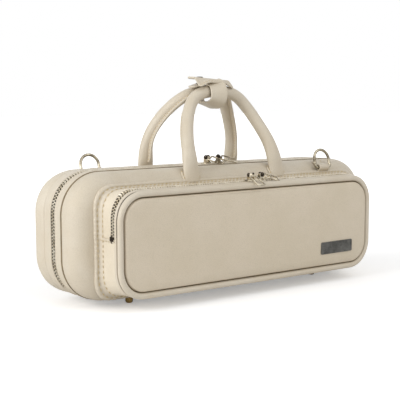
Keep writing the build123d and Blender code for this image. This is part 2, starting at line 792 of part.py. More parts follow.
# D-rings and the leather tabs that hold them, front right and rear left
ring_run = ring_width / 2 - ring_wire
ring_rise = ring_height - ring_wire
ring_distance = (
    dome_round + 2 * seam_gap + ring_tab_wall + ring_wire + ring_loop_clearance + ring_loop_wall / 2
)
bar_x = ring_distance * cos(radians(ring_bar_angle))
bar_y = ring_distance * sin(radians(ring_bar_angle))
for half, side, hand in (("front", FRONT, 1), ("rear", REAR, -1)):
    ring_plane = Plane(
        origin=(hand * ring_x, side * (dome_centre_y + bar_x), dome_centre_z + bar_y),
        x_dir=(1, 0, 0),
        z_dir=(0, -cos(radians(ring_lean)), sin(radians(ring_lean))),
    )
    with BuildPart() as ring:
        with BuildLine(ring_plane) as wire:
            FilletPolyline(
                (-ring_run, 0),
                (ring_run, 0),
                (ring_run, ring_rise),
                (-ring_run, ring_rise),
                radius=[ring_low_corner, ring_low_corner, ring_top_corner, ring_top_corner],
                close=True,
            )
        with BuildSketch(Plane(origin=wire.line @ 0, z_dir=wire.line % 0)):
            Circle(ring_wire)
        sweep()
    ring.part.label = f"{half}_ring"
    export_step(ring.part, f"parts/{half}_ring.step")

    base_strip = shoulder_strip(
        side, hand * ring_x, ring_tab_width, ring_tab_start, ring_tab_end, ring_tab_wall
    )
    with BuildPart() as ring_tab:
        add(base_strip)
        with BuildSketch(shoulder_plane(side, hand * ring_x)):
            with Locations((bar_x, bar_y)):
                Circle(ring_wire + ring_loop_clearance + ring_loop_wall)
        extrude(amount=ring_tab_width / 2, both=True)
        with BuildSketch(shoulder_plane(side, hand * ring_x)):
            with Locations((bar_x, bar_y)):
                Circle(ring_wire + ring_loop_clearance)
        extrude(amount=ring_tab_width / 2, both=True, mode=Mode.SUBTRACT)
    ring_tab.part.label = f"{half}_ring_tab"
    export_step(ring_tab.part, f"parts/{half}_ring_tab.step")
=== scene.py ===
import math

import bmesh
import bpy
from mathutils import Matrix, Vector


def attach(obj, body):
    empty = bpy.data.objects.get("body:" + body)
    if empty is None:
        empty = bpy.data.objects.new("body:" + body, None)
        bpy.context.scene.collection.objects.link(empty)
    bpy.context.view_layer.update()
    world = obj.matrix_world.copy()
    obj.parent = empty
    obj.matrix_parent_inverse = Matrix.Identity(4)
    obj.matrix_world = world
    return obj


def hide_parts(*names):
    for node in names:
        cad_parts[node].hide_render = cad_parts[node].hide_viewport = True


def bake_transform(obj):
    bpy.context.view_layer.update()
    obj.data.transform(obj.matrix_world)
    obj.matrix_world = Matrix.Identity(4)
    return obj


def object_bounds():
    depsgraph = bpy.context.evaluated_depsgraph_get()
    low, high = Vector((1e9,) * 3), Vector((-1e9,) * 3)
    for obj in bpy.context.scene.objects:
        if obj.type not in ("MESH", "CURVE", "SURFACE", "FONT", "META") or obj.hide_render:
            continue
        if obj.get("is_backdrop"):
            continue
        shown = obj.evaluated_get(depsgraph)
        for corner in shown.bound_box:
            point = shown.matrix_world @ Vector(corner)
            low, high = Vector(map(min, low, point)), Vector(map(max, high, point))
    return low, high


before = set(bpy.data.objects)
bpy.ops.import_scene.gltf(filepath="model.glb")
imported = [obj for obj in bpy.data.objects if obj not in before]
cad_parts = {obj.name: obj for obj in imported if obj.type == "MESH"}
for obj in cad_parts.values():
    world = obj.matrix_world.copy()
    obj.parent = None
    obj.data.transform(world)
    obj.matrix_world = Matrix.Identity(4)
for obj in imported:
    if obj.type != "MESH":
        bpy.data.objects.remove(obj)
cad_low, cad_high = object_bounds()

# %% [markdown]
# # Dressing a flute case
# The solids of the case are already loaded. Each step below makes one real piece, or one real finish, and
# lays it where the solids say. Everything is in metres, so lengths in millimetres are multiplied by `MM`.
# The long side of the case runs along X, its front faces -Y, and Z is up. A few helpers, such as `moved`,
# take plain millimetres and say so.

MM = 0.001
FRONT = Vector((0, -1, 0))
SIDES = {"front": -1, "rear": 1}
ENDS = {"left": -1, "right": 1}
HALF_BODY = {"front": "lid", "rear": "case_rear"}
print("solids:", len(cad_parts), "box in mm:", [round(v * 1000, 1) for v in cad_high - cad_low])

# %% [markdown]
# ## Camera
# A product picture of a long case is taken from well back, so that the far end doesn't shrink much. The
# lens is therefore long. The small shift keeps the case where it is in the frame without tilting the
# camera.

# %% Camera
ACROSS = math.radians(38.01)
DOWN = math.radians(7.7)
ahead = Vector((math.sin(ACROSS) * math.cos(DOWN), math.cos(ACROSS) * math.cos(DOWN), -math.sin(DOWN)))
camera = bpy.data.objects.new("camera", bpy.data.cameras.new("camera"))
bpy.context.scene.collection.objects.link(camera)
camera.location = (-0.7236, -0.9258, 0.2313)
camera.rotation_euler = ahead.to_track_quat("-Z", "Y").to_euler()
camera.data.lens = 88.9
camera.data.shift_x = -0.029
camera.data.shift_y = 0.061
camera.data.clip_start = 0.05
camera.data.clip_end = 20
bpy.context.scene.camera = camera
print("camera stands", round((camera.location - Vector((0, 0, 0.1))).length, 2), "m away")

# %% [markdown]
# ## Colours
# Paint and leather charts give colours as numbers from 0 to 255 for a screen. Blender's shaders count light
# instead, so each number is turned from the screen's scale to the light's.

# %% Colour helper
def colour(red, green, blue):
    """A screen colour from 0 to 255 as the linear colour that shaders take."""
    channels = [v / 255 for v in (red, green, blue)]
    return tuple(v / 12.92 if v <= 0.04045 else ((v + 0.055) / 1.055) ** 2.4 for v in channels) + (1,)


print("cream is", [round(v, 3) for v in colour(212, 202, 184)])

# %% [markdown]
# ## Light, floor and background
# Soft light reaches the case from all round, and one large lamp on the left gives it shape. The floor is a
# sheet of white that takes the shadow, and to the camera it also glows, which is painted light: little near
# the case, so that its shadow stays dark, and more farther out, so that the floor turns plain white. Behind
# it the world is white to the camera and to polished metal, but lights the leather only as much as a bright
# room would.

# %% World
ROOM_STRENGTH, WHITE_STRENGTH = 0.53, 1.0


def math_node(tree, operation, first, second=0.0):
    """A Math node whose inputs are either sockets or numbers."""
    node = tree.nodes.new("ShaderNodeMath")
    node.operation = operation
    for socket, value in zip(node.inputs, (first, second)):
        if isinstance(value, (int, float)):
            socket.default_value = value
        else:
            tree.links.new(value, socket)
    return node.outputs[0]


def ranged(tree, value, low, high, to_low=0.0, to_high=1.0, steps="SMOOTHSTEP"):
    """A value moved from one range to another, smoothly unless steps is LINEAR."""
    node = tree.nodes.new("ShaderNodeMapRange")
    node.interpolation_type = steps
    for socket, number in (("From Min", low), ("From Max", high), ("To Min", to_low), ("To Max", to_high)):
        node.inputs[socket].default_value = number
    tree.links.new(value, node.inputs["Value"])
    return node.outputs["Result"]


world = bpy.data.worlds.new("studio")
bpy.context.scene.world = world
world.use_nodes = True
tree = world.node_tree
tree.nodes.clear()
ray = tree.nodes.new("ShaderNodeLightPath").outputs
polished = math_node(tree, "MAXIMUM", ray["Is Glossy Ray"], ray["Is Transmission Ray"])
shown_white = math_node(tree, "MAXIMUM", ray["Is Camera Ray"], polished)
sky = tree.nodes.new("ShaderNodeBackground")
sky.inputs["Color"].default_value = (1, 1, 1, 1)
level = ranged(tree, shown_white, 0.0, 1.0, ROOM_STRENGTH, WHITE_STRENGTH, "LINEAR")
tree.links.new(level, sky.inputs["Strength"])
world_out = tree.nodes.new("ShaderNodeOutputWorld")
tree.links.new(sky.outputs[0], world_out.inputs["Surface"])
bpy.context.scene.view_settings.view_transform = "Standard"
print("world strength", ROOM_STRENGTH, "and white to the camera")


# %% Lamps
CASE_HEART = Vector((0, 0, 0.1))


def soft_lamp(name, place, size, power):
    """A square lamp that points at the middle of the case."""
    lamp = bpy.data.objects.new(name, bpy.data.lights.new(name, "AREA"))
    bpy.context.scene.collection.objects.link(lamp)
    lamp.location = place
    lamp.rotation_euler = (CASE_HEART - Vector(place)).to_track_quat("-Z", "Y").to_euler()
    lamp.data.size = size
    lamp.data.energy = power


soft_lamp("lamp_left", (-1.75, 0.0, 0.75), size=1.1, power=19)
soft_lamp("lamp_front", (0.25, -1.3, 1.35), size=1.5, power=9.5)

# %% Floor
# Painted glow of the floor to the camera, as distance from the middle in metres and strength: weak near the
# case, strong far away.
GLOW_NEAR, GLOW_FAR = (0.3, 0.32), (1.3, 0.8)

bpy.ops.mesh.primitive_plane_add(size=14)
floor = bpy.context.object
floor.name = "floor"
floor_white = bpy.data.materials.new("floor_white")
floor_white.use_nodes = True
tree = floor_white.node_tree
shader = tree.nodes["Principled BSDF"]
shader.inputs["Base Color"].default_value = (0.9, 0.9, 0.9, 1)
shader.inputs["Roughness"].default_value = 0.9
shader.inputs["Emission Color"].default_value = (1, 1, 1, 1)
distance = tree.nodes.new("ShaderNodeVectorMath")
distance.operation = "LENGTH"
tree.links.new(tree.nodes.new("ShaderNodeTexCoord").outputs["Object"], distance.inputs[0])
(near, near_glow), (far, far_glow) = GLOW_NEAR, GLOW_FAR
glow = ranged(tree, distance.outputs["Value"], near, far, near_glow, far_glow, "LINEAR")
to_camera = tree.nodes.new("ShaderNodeLightPath").outputs["Is Camera Ray"]
tree.links.new(math_node(tree, "MULTIPLY", to_camera, glow), shader.inputs["Emission Strength"])
floor.data.materials.append(floor_white)
floor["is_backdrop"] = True
print("floor", floor.dimensions[:2])

# %% [markdown]
# ## Shared effects
# Grain, blotches and brushing appear on many pieces, so each is one node group that is placed in every
# material that needs it, with its own size. A group only hands out numbers: the shader stays in the
# material.

# %% Helpers for groups and materials
def new_group(name, inputs, outputs):
    """An empty node group with number sockets."""
    group = bpy.data.node_groups.new(name, "ShaderNodeTree")
    for socket, value in inputs.items():
        made = group.interface.new_socket(socket, in_out="INPUT", socket_type="NodeSocketFloat")
        made.default_value = value
    for socket in outputs:
        group.interface.new_socket(socket, in_out="OUTPUT", socket_type="NodeSocketFloat")
    return group, group.nodes.new("NodeGroupInput"), group.nodes.new("NodeGroupOutput")


def noise_node(tree, vector, scale, detail=3.0):
    """A Noise texture on a vector. The scale is a socket or a number."""
    node = tree.nodes.new("ShaderNodeTexNoise")
    node.inputs["Detail"].default_value = detail
    if isinstance(scale, (int, float)):
        node.inputs["Scale"].default_value = scale
    else:
        tree.links.new(scale, node.inputs["Scale"])
    tree.links.new(vector, node.inputs["Vector"])
    return node.outputs["Fac"]


# %% [markdown]
# ### Pebbled grain
# Leathercloth is embossed: small rounded pebbles with narrow valleys between them. A Voronoi texture's
# distance to the nearest cell edge gives just that. A little noise in the coordinates keeps the cells from
# looking like tiles.

# %% Grain group
grain_group, grain_in, grain_out = new_group(
    "pebbled_grain", {"Pebbles per metre": 800}, ["Height", "Valleys"]
)
place = grain_group.nodes.new("ShaderNodeTexCoord").outputs["Object"]
wobble = noise_node(grain_group, place, 260, 2)
shifted = grain_group.nodes.new("ShaderNodeVectorMath")
shifted.operation = "MULTIPLY_ADD"
shifted.inputs[1].default_value = (1, 1, 1)
grain_group.links.new(place, shifted.inputs[0])
spread = grain_group.nodes.new("ShaderNodeCombineXYZ")
small_wobble = math_node(grain_group, "MULTIPLY", wobble, 0.0016)
for socket in spread.inputs:
    grain_group.links.new(small_wobble, socket)
grain_group.links.new(spread.outputs[0], shifted.inputs[2])
pebbles = grain_group.nodes.new("ShaderNodeTexVoronoi")
pebbles.feature = "DISTANCE_TO_EDGE"
grain_group.links.new(shifted.outputs[0], pebbles.inputs["Vector"])
grain_group.links.new(grain_in.outputs[0], pebbles.inputs["Scale"])
rounded = ranged(grain_group, pebbles.outputs["Distance"], 0.0, 0.28)
fine = noise_node(grain_group, place, 2200, 2)
height = math_node(grain_group, "MULTIPLY_ADD", fine, 0.25)
grain_group.links.new(rounded, height.node.inputs[2])
grain_group.links.new(height, grain_out.inputs["Height"])
valleys = ranged(grain_group, pebbles.outputs["Distance"], 0.02, 0.16, 1.0, 0.0)
grain_group.links.new(valleys, grain_out.inputs["Valleys"])
print("group", grain_group.name, len(grain_group.nodes), "nodes")

# %% [markdown]
# ### Blotches
# No dyed or handled surface is quite even. Two noises, one the size of a hand and one the size of a coin,
# give a slow change that can tint the colour or dull the shine.

# %% Blotch group
blotch_group, blotch_in, blotch_out = new_group("blotches", {"Per metre": 16}, ["Amount"])
place = blotch_group.nodes.new("ShaderNodeTexCoord").outputs["Object"]
large = noise_node(blotch_group, place, blotch_in.outputs[0], 2)
finer = math_node(blotch_group, "MULTIPLY", blotch_in.outputs[0], 5.3)
small = noise_node(blotch_group, place, finer, 3)
mixed = math_node(blotch_group, "MULTIPLY_ADD", small, 0.35)
blotch_group.links.new(math_node(blotch_group, "MULTIPLY", large, 0.65), mixed.node.inputs[2])
blotch_group.links.new(ranged(blotch_group, mixed, 0.32, 0.68), blotch_out.inputs["Amount"])
print("group", blotch_group.name, len(blotch_group.nodes), "nodes")

# %% [markdown]
# ### Fine scratches
# Metal that is handled or brushed carries lines finer than a hair. A noise stretched along one direction
# makes them, and three stretch numbers let each metal choose that direction.

# %% Scratch group
scratch_group, scratch_in, scratch_out = new_group(
    "fine_scratches", {"Along X": 40, "Along Y": 3000, "Along Z": 3000}, ["Amount"]
)
place = scratch_group.nodes.new("ShaderNodeTexCoord").outputs["Object"]
stretch = scratch_group.nodes.new("ShaderNodeCombineXYZ")
for source, socket in zip(scratch_in.outputs, stretch.inputs):
    scratch_group.links.new(source, socket)
scaled = scratch_group.nodes.new("ShaderNodeVectorMath")
scaled.operation = "MULTIPLY"
scratch_group.links.new(place, scaled.inputs[0])
scratch_group.links.new(stretch.outputs[0], scaled.inputs[1])
scratch_group.links.new(noise_node(scratch_group, scaled.outputs[0], 1.0, 4), scratch_out.inputs["Amount"])
print("group", scratch_group.name, len(scratch_group.nodes), "nodes")


# %% Placing groups in materials
def new_finish(name, roughness, metallic=0.0):
    """A material with its shader, ready for colour and bump."""
    finish = bpy.data.materials.new(name)
    finish.use_nodes = True
    shader = finish.node_tree.nodes["Principled BSDF"]
    shader.inputs["Roughness"].default_value = roughness
    shader.inputs["Metallic"].default_value = metallic
    return finish, shader, finish.node_tree


def placed(tree, group, **values):
    """A group node in a material, its inputs set by name with underscores for spaces."""
    node = tree.nodes.new("ShaderNodeGroup")
    node.node_tree = group
    for name, value in values.items():
        node.inputs[name.replace("_", " ")].default_value = value
    return node


def mixed_colour(tree, amount, first, second):
    """A Mix node between two colours, each a socket or a plain colour."""
    node = tree.nodes.new("ShaderNodeMix")
    node.data_type = "RGBA"
    if isinstance(amount, float):
        node.inputs["Factor"].default_value = amount
    else:
        tree.links.new(amount, node.inputs["Factor"])
    for socket, value in ((node.inputs[6], first), (node.inputs[7], second)):
        if isinstance(value, tuple):
            socket.default_value = value
        else:
            tree.links.new(value, socket)
    return node.outputs[2]


def bumped(tree, shader, height, depth, strength=1.0):
    """Feeds a height to the shader as a bump that is depth metres high."""
    bump = tree.nodes.new("ShaderNodeBump")
    bump.inputs["Strength"].default_value = strength
    bump.inputs["Distance"].default_value = depth
    tree.links.new(height, bump.inputs["Height"])
    tree.links.new(bump.outputs["Normal"], shader.inputs["Normal"])


# %% [markdown]
# ## Leathercloth
# The case is covered in cream leathercloth, a coated fabric. It is a little darker and warmer in the grain's
# valleys, and its shine changes slowly over each panel. The handles, the wrap and the zip lips use a smoother
# cut of the same cloth, so one helper makes both.

# %% Leathercloth finishes
def leathercloth(name, pebbles_per_metre, depth, light, warm, roughness):
    """A leathercloth with its own grain size and depth in metres, and its two tones."""
    finish, shader, tree = new_finish(name, roughness)
    grain = placed(tree, grain_group, Pebbles_per_metre=pebbles_per_metre)
    blotches = placed(tree, blotch_group, Per_metre=14)
    tone = mixed_colour(tree, blotches.outputs["Amount"], light, warm)
    valley = math_node(tree, "MULTIPLY", grain.outputs["Valleys"], 0.30)
    deeper = tuple(v * 0.72 for v in warm[:3]) + (1,)
    tree.links.new(mixed_colour(tree, valley, tone, deeper), shader.inputs["Base Color"])
    shine = ranged(tree, blotches.outputs["Amount"], 0.0, 1.0, roughness - 0.05, roughness + 0.07)
    tree.links.new(shine, shader.inputs["Roughness"])
    bumped(tree, shader, grain.outputs["Height"], depth, 0.7)
    return finish


CREAM, CREAM_WARM = colour(212, 202, 184), colour(206, 194, 173)
leather = leathercloth("leathercloth", 760, 0.00011, CREAM, CREAM_WARM, 0.46)
smooth_leather = leathercloth("leathercloth_smooth", 1150, 0.00005, CREAM, CREAM_WARM, 0.42)
# A lighter copy of the cream for the pocket's gusset, which is painted light.
lit_leather = leathercloth(
    "leathercloth_lit", 1150, 0.00005, colour(225, 214, 194), colour(218, 206, 184), 0.4
)
# A copy of the cream for the padded front panel, a little warmer and lighter, which is painted light, and
# with a coarser grain.
lit_panel_leather = leathercloth(
    "leathercloth_lit_panel", 700, 0.00010, colour(216, 203, 182), colour(210, 197, 174), 0.44
)
print("leathercloths:", leather.name, smooth_leather.name, lit_leather.name, lit_panel_leather.name)

# %% [markdown]
# ### Seam shadow, thread and cut edges
# A seam shows as a narrow brown line where it lies deep between two panels, and its brown is painted shade in
# the groove. The thread that holds it is a shade yellower than the leather and has a twist. A strap's cut
# edge is painted, so it is smooth and a bit lighter.

# %% Small leather finishes
# The brown of the seam grooves is painted shade.
groove_shade, shader, tree = new_finish("seam_groove_shade", 0.7)
blotches = placed(tree, blotch_group, Per_metre=60)
groove_shade_tone = mixed_colour(tree, blotches.outputs["Amount"], colour(104, 90, 66), colour(130, 114, 86))
tree.links.new(groove_shade_tone, shader.inputs["Base Color"])
bumped(tree, shader, blotches.outputs["Amount"], 0.0001)

thread, shader, tree = new_finish("thread", 0.62)
twist = placed(tree, scratch_group, Along_X=900, Along_Y=900, Along_Z=2600)
thread_tone = mixed_colour(tree, twist.outputs["Amount"], colour(178, 154, 104), colour(214, 194, 148))
tree.links.new(thread_tone, shader.inputs["Base Color"])
bumped(tree, shader, twist.outputs["Amount"], 0.00012)

painted_edge, shader, tree = new_finish("painted_edge", 0.38)
blotches = placed(tree, blotch_group, Per_metre=90)
edge_tone = mixed_colour(tree, blotches.outputs["Amount"], colour(226, 218, 202), colour(214, 204, 186))
tree.links.new(edge_tone, shader.inputs["Base Color"])
bumped(tree, shader, blotches.outputs["Amount"], 0.00006)
print("small finishes:", groove_shade.name, thread.name, painted_edge.name)


# %% [markdown]
# ### Metals
# The hardware is pale plated metal. All of it shares the scratches and blotches, and differs in colour and
# polish: bright nickel rings and zips, brass feet, a brushed plate and a dark snap. The blotches mix a bright
# tone with a dull one, whose patches are partly tarnish and partly painted dark reflection.

# %% Metal finishes
def plated(name, bright, tarnish_and_dark_reflection, roughness, **direction):
    """A metal with its bright tone and its dull one, which is partly tarnish and partly painted dark
    reflection, and the direction of its scratches.
    """
    finish, shader, tree = new_finish(name, roughness, 1.0)
    blotches = placed(tree, blotch_group, Per_metre=120)
    tree.links.new(mixed_colour(tree, blotches.outputs["Amount"], bright, tarnish_and_dark_reflection), shader.inputs["Base Color"])
    lines = placed(tree, scratch_group, **direction)
    worn = math_node(tree, "MULTIPLY", lines.outputs["Amount"], blotches.outputs["Amount"])
    shine = ranged(tree, worn, 0.05, 0.6, roughness - 0.06, roughness + 0.14)
    tree.links.new(shine, shader.inputs["Roughness"])
    bumped(tree, shader, lines.outputs["Amount"], 0.00001, 0.4)
    return finish


ANY_WAY = {"Along_X": 900, "Along_Y": 900, "Along_Z": 900}
tooth_metal = plated("tooth_metal", colour(246, 238, 220), colour(170, 156, 130), 0.4, **ANY_WAY)
dark_metal = plated("dark_metal", colour(70, 62, 52), colour(38, 33, 28), 0.22, **ANY_WAY)
slider_metal = plated("slider_metal", colour(236, 226, 204), colour(120, 108, 88), 0.2, **ANY_WAY)
ring_metal = plated("ring_metal", colour(204, 195, 174), colour(100, 90, 74), 0.18, **ANY_WAY)
foot_metal = plated("foot_metal", colour(214, 186, 128), colour(176, 146, 90), 0.28, **ANY_WAY)
snap_metal = plated("snap_metal", colour(96, 90, 82), colour(62, 58, 54), 0.3, **ANY_WAY)
stop_metal = plated("stop_metal", colour(46, 44, 42), colour(28, 27, 26), 0.34, **ANY_WAY)
BRUSHED = {"Along_X": 60, "Along_Y": 4200, "Along_Z": 4200}
plate_metal = plated("plate_metal", colour(112, 111, 107), colour(84, 83, 80), 0.36, **BRUSHED)
print("metals:", [m.name for m in bpy.data.materials if m.name.endswith("metal")])

# %% [markdown]
# ### Inside, zip cloth and rope
# The inside is lined with a short plush, streaked darker along its pile as painted shade. The zip tape is a
# plain twill, and the cores of the handles are a soft pale rope.

# %% Cloth finishes
plush, shader, tree = new_finish("plush", 0.85)
shader.inputs["Sheen Weight"].default_value = 0.6
shader.inputs["Sheen Roughness"].default_value = 0.45
nap = placed(tree, blotch_group, Per_metre=45)
pile = placed(tree, scratch_group, Along_X=2600, Along_Y=2600, Along_Z=1700)
nap_tone = mixed_colour(tree, nap.outputs["Amount"], colour(176, 158, 132), colour(150, 132, 107))
pile_shade = math_node(tree, "MULTIPLY", pile.outputs["Amount"], 0.3)
pile_tone = mixed_colour(tree, pile_shade, nap_tone, colour(112, 96, 76))
tree.links.new(pile_tone, shader.inputs["Base Color"])
bumped(tree, shader, pile.outputs["Amount"], 0.0005)

twill, shader, tree = new_finish("zip_twill", 0.8)
ribs = tree.nodes.new("ShaderNodeTexWave")
ribs.bands_direction = "DIAGONAL"
ribs.inputs["Scale"].default_value = 420
ribs.inputs["Distortion"].default_value = 0.6
tree.links.new(tree.nodes.new("ShaderNodeTexCoord").outputs["Object"], ribs.inputs["Vector"])
rib_tone = mixed_colour(tree, ribs.outputs["Fac"], colour(30, 26, 22), colour(56, 49, 41))
tree.links.new(rib_tone, shader.inputs["Base Color"])
bumped(tree, shader, ribs.outputs["Fac"], 0.0002)

rope_fibre, shader, tree = new_finish("rope_core", 0.9)
cells = placed(tree, grain_group, Pebbles_per_metre=1500)
cell_tone = mixed_colour(tree, cells.outputs["Valleys"], colour(206, 198, 182), colour(150, 140, 122))
tree.links.new(cell_tone, shader.inputs["Base Color"])
bumped(tree, shader, cells.outputs["Height"], 0.0003)
print("cloths:", plush.name, twill.name, rope_fibre.name)

# %% [markdown]
# ## Tools for shaping
# Most of the case is made of rounded rectangles: a face with its four corners bevelled. Edges that run
# round such an outline are where zips, piping and stitches go, so one helper reads the outline as a line of
# points, and another turns points into frames. A frame is a small set of axes: z along the line, y
# outwards, x across.

# %% Rounded rectangles
CASE_LENGTH, CASE_HEIGHT, CASE_CORNER = 430 * MM, 137 * MM, 45 * MM
CASE_MIDDLE = 77 * MM


def every(bm):
    """All of a bmesh, as its operators take it."""
    return bm.verts[:] + bm.edges[:] + bm.faces[:]


def within(parts, test):
    """The edges or faces whose every corner passes a test."""
    return [part for part in parts if all(test(v.co) for v in part.verts)]


def pushed(bm, faces, x=0.0, y=0.0, z=0.0):
    """Pushes faces out into a solid by so many millimetres."""
    grown = bmesh.ops.extrude_face_region(bm, geom=faces)["geom"]
    outer = [g for g in grown if isinstance(g, bmesh.types.BMVert)]
    bmesh.ops.translate(bm, vec=(x * MM, y * MM, z * MM), verts=outer)


def sliced(bm, axis, at, **cleared):
    """Cuts everything with a plane across one axis, and may clear what lies on one side of it."""
    normal = Vector([float(i == axis) for i in range(3)])
    bmesh.ops.bisect_plane(bm, geom=every(bm), plane_co=normal * at, plane_no=normal, **cleared)


def square(bm, width, height):
    """The four corners of a flat face round the origin."""
    corners = bmesh.ops.create_grid(bm, x_segments=1, y_segments=1, size=0.5)["verts"]
    bmesh.ops.scale(bm, vec=(width, height, 1), verts=corners)
    return corners


def round_corners(bm, corners, radius, segments):
    """Rounds the corners of a flat face, and gives the face."""
    rounded = bmesh.ops.bevel(
        bm, geom=corners, offset=radius, offset_type="OFFSET", affect="VERTICES",
        segments=segments, profile=0.5, material=-1,
    )
    return rounded["verts"][0].link_faces[0]


def standing_panel(bm, width, height, corner, depth, middle=CASE_MIDDLE, segments=16):
    """One upright face with rounded corners, at one depth along Y."""
    corners = square(bm, width, height)
    stand = Matrix.Translation((0, depth, middle)) @ Matrix.Rotation(math.radians(90), 4, "X")
    bmesh.ops.transform(bm, matrix=stand, verts=corners)
    return round_corners(bm, corners, corner, segments)


def outline(width, height, corner, depth, middle=CASE_MIDDLE, segments=16):
    """The points of a rounded rectangle, from the middle of its underside towards +X."""
    bm = bmesh.new()
    standing_panel(bm, width, height, corner, depth, middle, segments)
    sliced(bm, 0, 0)
    here = min((v for v in bm.verts if abs(v.co.x) < MM / 100), key=lambda v: v.co.z)
    points, seen = [], set()
    while here is not None:
        points.append(here.co.copy())
        seen.add(here)
        ahead_of = [e.other_vert(here) for e in here.link_edges if e.is_boundary]
        ahead_of = [v for v in ahead_of if v not in seen]
        here = max(ahead_of, key=lambda v: v.co.x) if len(points) == 1 else (ahead_of or [None])[0]
    bm.free()
    return points


def length_of(points):
    """How long a line of points is, in metres."""
    return sum((b - a).length for a, b in zip(points, points[1:]))


def evenly(points, pitch, closed=False):
    """Points set one pitch apart along a line of points."""
    line = points + points[:1] if closed else points
    total = length_of(line)
    count = max(2, round(total / pitch))
    step, made, left = total / count, [line[0].copy()], total / count
    hair = 1e-9
    for a, b in zip(line, line[1:]):
        run, used = (b - a).length, 0.0
        while run - used >= left - hair and len(made) < count + (not closed):
            used += left
            made.append(a.lerp(b, min(used / run, 1)))
            left = step
        left -= run - used
    return made


def round_case(point, along):
    """Outwards from an outline that runs anticlockwise seen from the front."""
    return Vector((0, 1, 0)).cross(along)


def facing(x, y, z):
    """Outwards in one direction, whatever the place."""
    return lambda point, along: Vector((x, y, z))


def away_from(middle):
    """Outwards from one spot."""
    return lambda point, along: point - middle


def frames_on(points, outwards=round_case, closed=False):
    """A frame at each point: z along the line, y outwards, x across."""
    made, last = [], len(points) - 1
    for i, point in enumerate(points):
        into = (point - points[i - 1]).normalized() if i or closed else Vector()
        out_of = (points[(i + 1) % len(points)] - point).normalized() if i < last or closed else Vector()
        along = (into + out_of).normalized()
        out = outwards(point, along)
        out = (out - along * out.dot(along)).normalized()
        frame_here = Matrix((out.cross(along), out, along)).transposed().to_4x4()
        frame_here.translation = point
        made.append(frame_here)
    return made


case_line = outline(CASE_LENGTH, CASE_HEIGHT, CASE_CORNER, 0)
print("case outline:", len(case_line), "points,", round(length_of(case_line), 3), "m")


# %% Sweeping, stitching and finishing
def moved(x=0.0, y=0.0, z=0.0):
    """A shift in millimetres."""
    return Matrix.Translation(Vector((x, y, z)) * MM)


def ring_section(bm, radius, segments=12, flat=1.0):
    """A circle of edges round the origin, or an ellipse where flat isn't 1."""
    made = bmesh.ops.create_circle(bm, segments=segments, radius=radius)["verts"]
    bmesh.ops.scale(bm, vec=(1, flat, 1), verts=made)
    return list({e for v in made for e in v.link_edges})


def strap_section(bm, width, thickness, corner, cuts=1, segments=3):
    """A flat rounded section: width across x and thickness along y."""
    face = round_corners(bm, square(bm, width, thickness), corner, segments)
    edges = list(face.edges)
    bmesh.ops.delete(bm, geom=[face], context="FACES_ONLY")
    if cuts > 1:
        long_edges = [e for e in edges if e.calc_length() > width / 2]
        cut = bmesh.ops.subdivide_edges(bm, edges=long_edges, cuts=cuts)["geom_split"]
        edges = list(set(edges) | {g for g in cut if isinstance(g, bmesh.types.BMEdge)})
        edges = [e for e in edges if e.is_valid]
    return edges


def loop_points(edges):
    """The points of a closed loop of edges, in order."""
    start = edges[0]
    loop, last, left = [start.verts[0]], start.verts[1], set(edges[1:])
    while left:
        loop.append(last)
        step = next(e for e in left if last in e.verts)
        left.discard(step)
        last = step.other_vert(last)
    return loop


def sweep(bm, edges, frames, closed=False, finish=0):
    """Carries a closed section, drawn round the origin, from frame to frame.

    A flat grid is rolled up to do it, one row of squares for each frame, and its two long edges are merged.
    Open ends are capped.
    """
    section = loop_points(edges)
    shape = [v.co.copy() for v in section]
    bmesh.ops.delete(bm, geom=section, context="VERTS")
    stops = frames + frames[:1] if closed else frames
    around, rows = len(shape), len(stops) - 1
    grid = bmesh.ops.create_grid(bm, x_segments=around, y_segments=rows, size=1)["verts"]
    rings = [[] for _ in stops]
    for vert in grid:
        i, j = round((vert.co.x + 1) / 2 * around), round((vert.co.y + 1) / 2 * rows)
        vert.co = stops[j] @ shape[i % around]
        rings[j].append(vert)
    faces = {f for v in grid for f in v.link_faces}
    bmesh.ops.remove_doubles(bm, verts=grid, dist=MM / 500)
    if not closed:
        for ring in (rings[0], rings[-1]):
            kept = {v for v in ring if v.is_valid}
            rim = list({e for v in kept for e in v.link_edges if kept.issuperset(e.verts)})
            faces.update(bmesh.ops.edgeloop_fill(bm, edges=rim)["faces"])
    made = [f for f in faces if f.is_valid]
    for face in made:
        face.material_index = finish
    return list({v for f in made for v in f.verts})


def stitches(bm, frames, length, width):
    """One short rounded stitch at each frame, made apart and then added, which is quicker."""
    apart = bmesh.new()
    for frame_here in frames:
        shape = frame_here @ Matrix.Diagonal((width * MM, width * MM, length * MM, 1))
        bmesh.ops.create_uvsphere(apart, u_segments=6, v_segments=5, radius=0.5, matrix=shape)
    for face in apart.faces:
        face.material_index = 1
    sewn = bpy.data.meshes.new("sewn")
    apart.to_mesh(sewn)
    apart.free()
    before = len(bm.verts)
    bm.from_mesh(sewn)
    bpy.data.meshes.remove(sewn)
    return bm.verts[:][before:]


def every_edge_soft(bm, offset, segments=2, geom=None):
    """Rounds edges a little, as real cut or moulded edges are."""
    bmesh.ops.bevel(
        bm, geom=geom if geom is not None else bm.edges[:], offset=offset, offset_type="OFFSET",
        affect="EDGES", segments=segments, profile=0.5, material=-1, clamp_overlap=True,
    )


SAG = 1.7


def ease(value, low, high):
    """0 below low, 1 above high, and a smooth step between them."""
    share = min(max((value - low) / (high - low), 0), 1)
    return share * share * (3 - 2 * share)


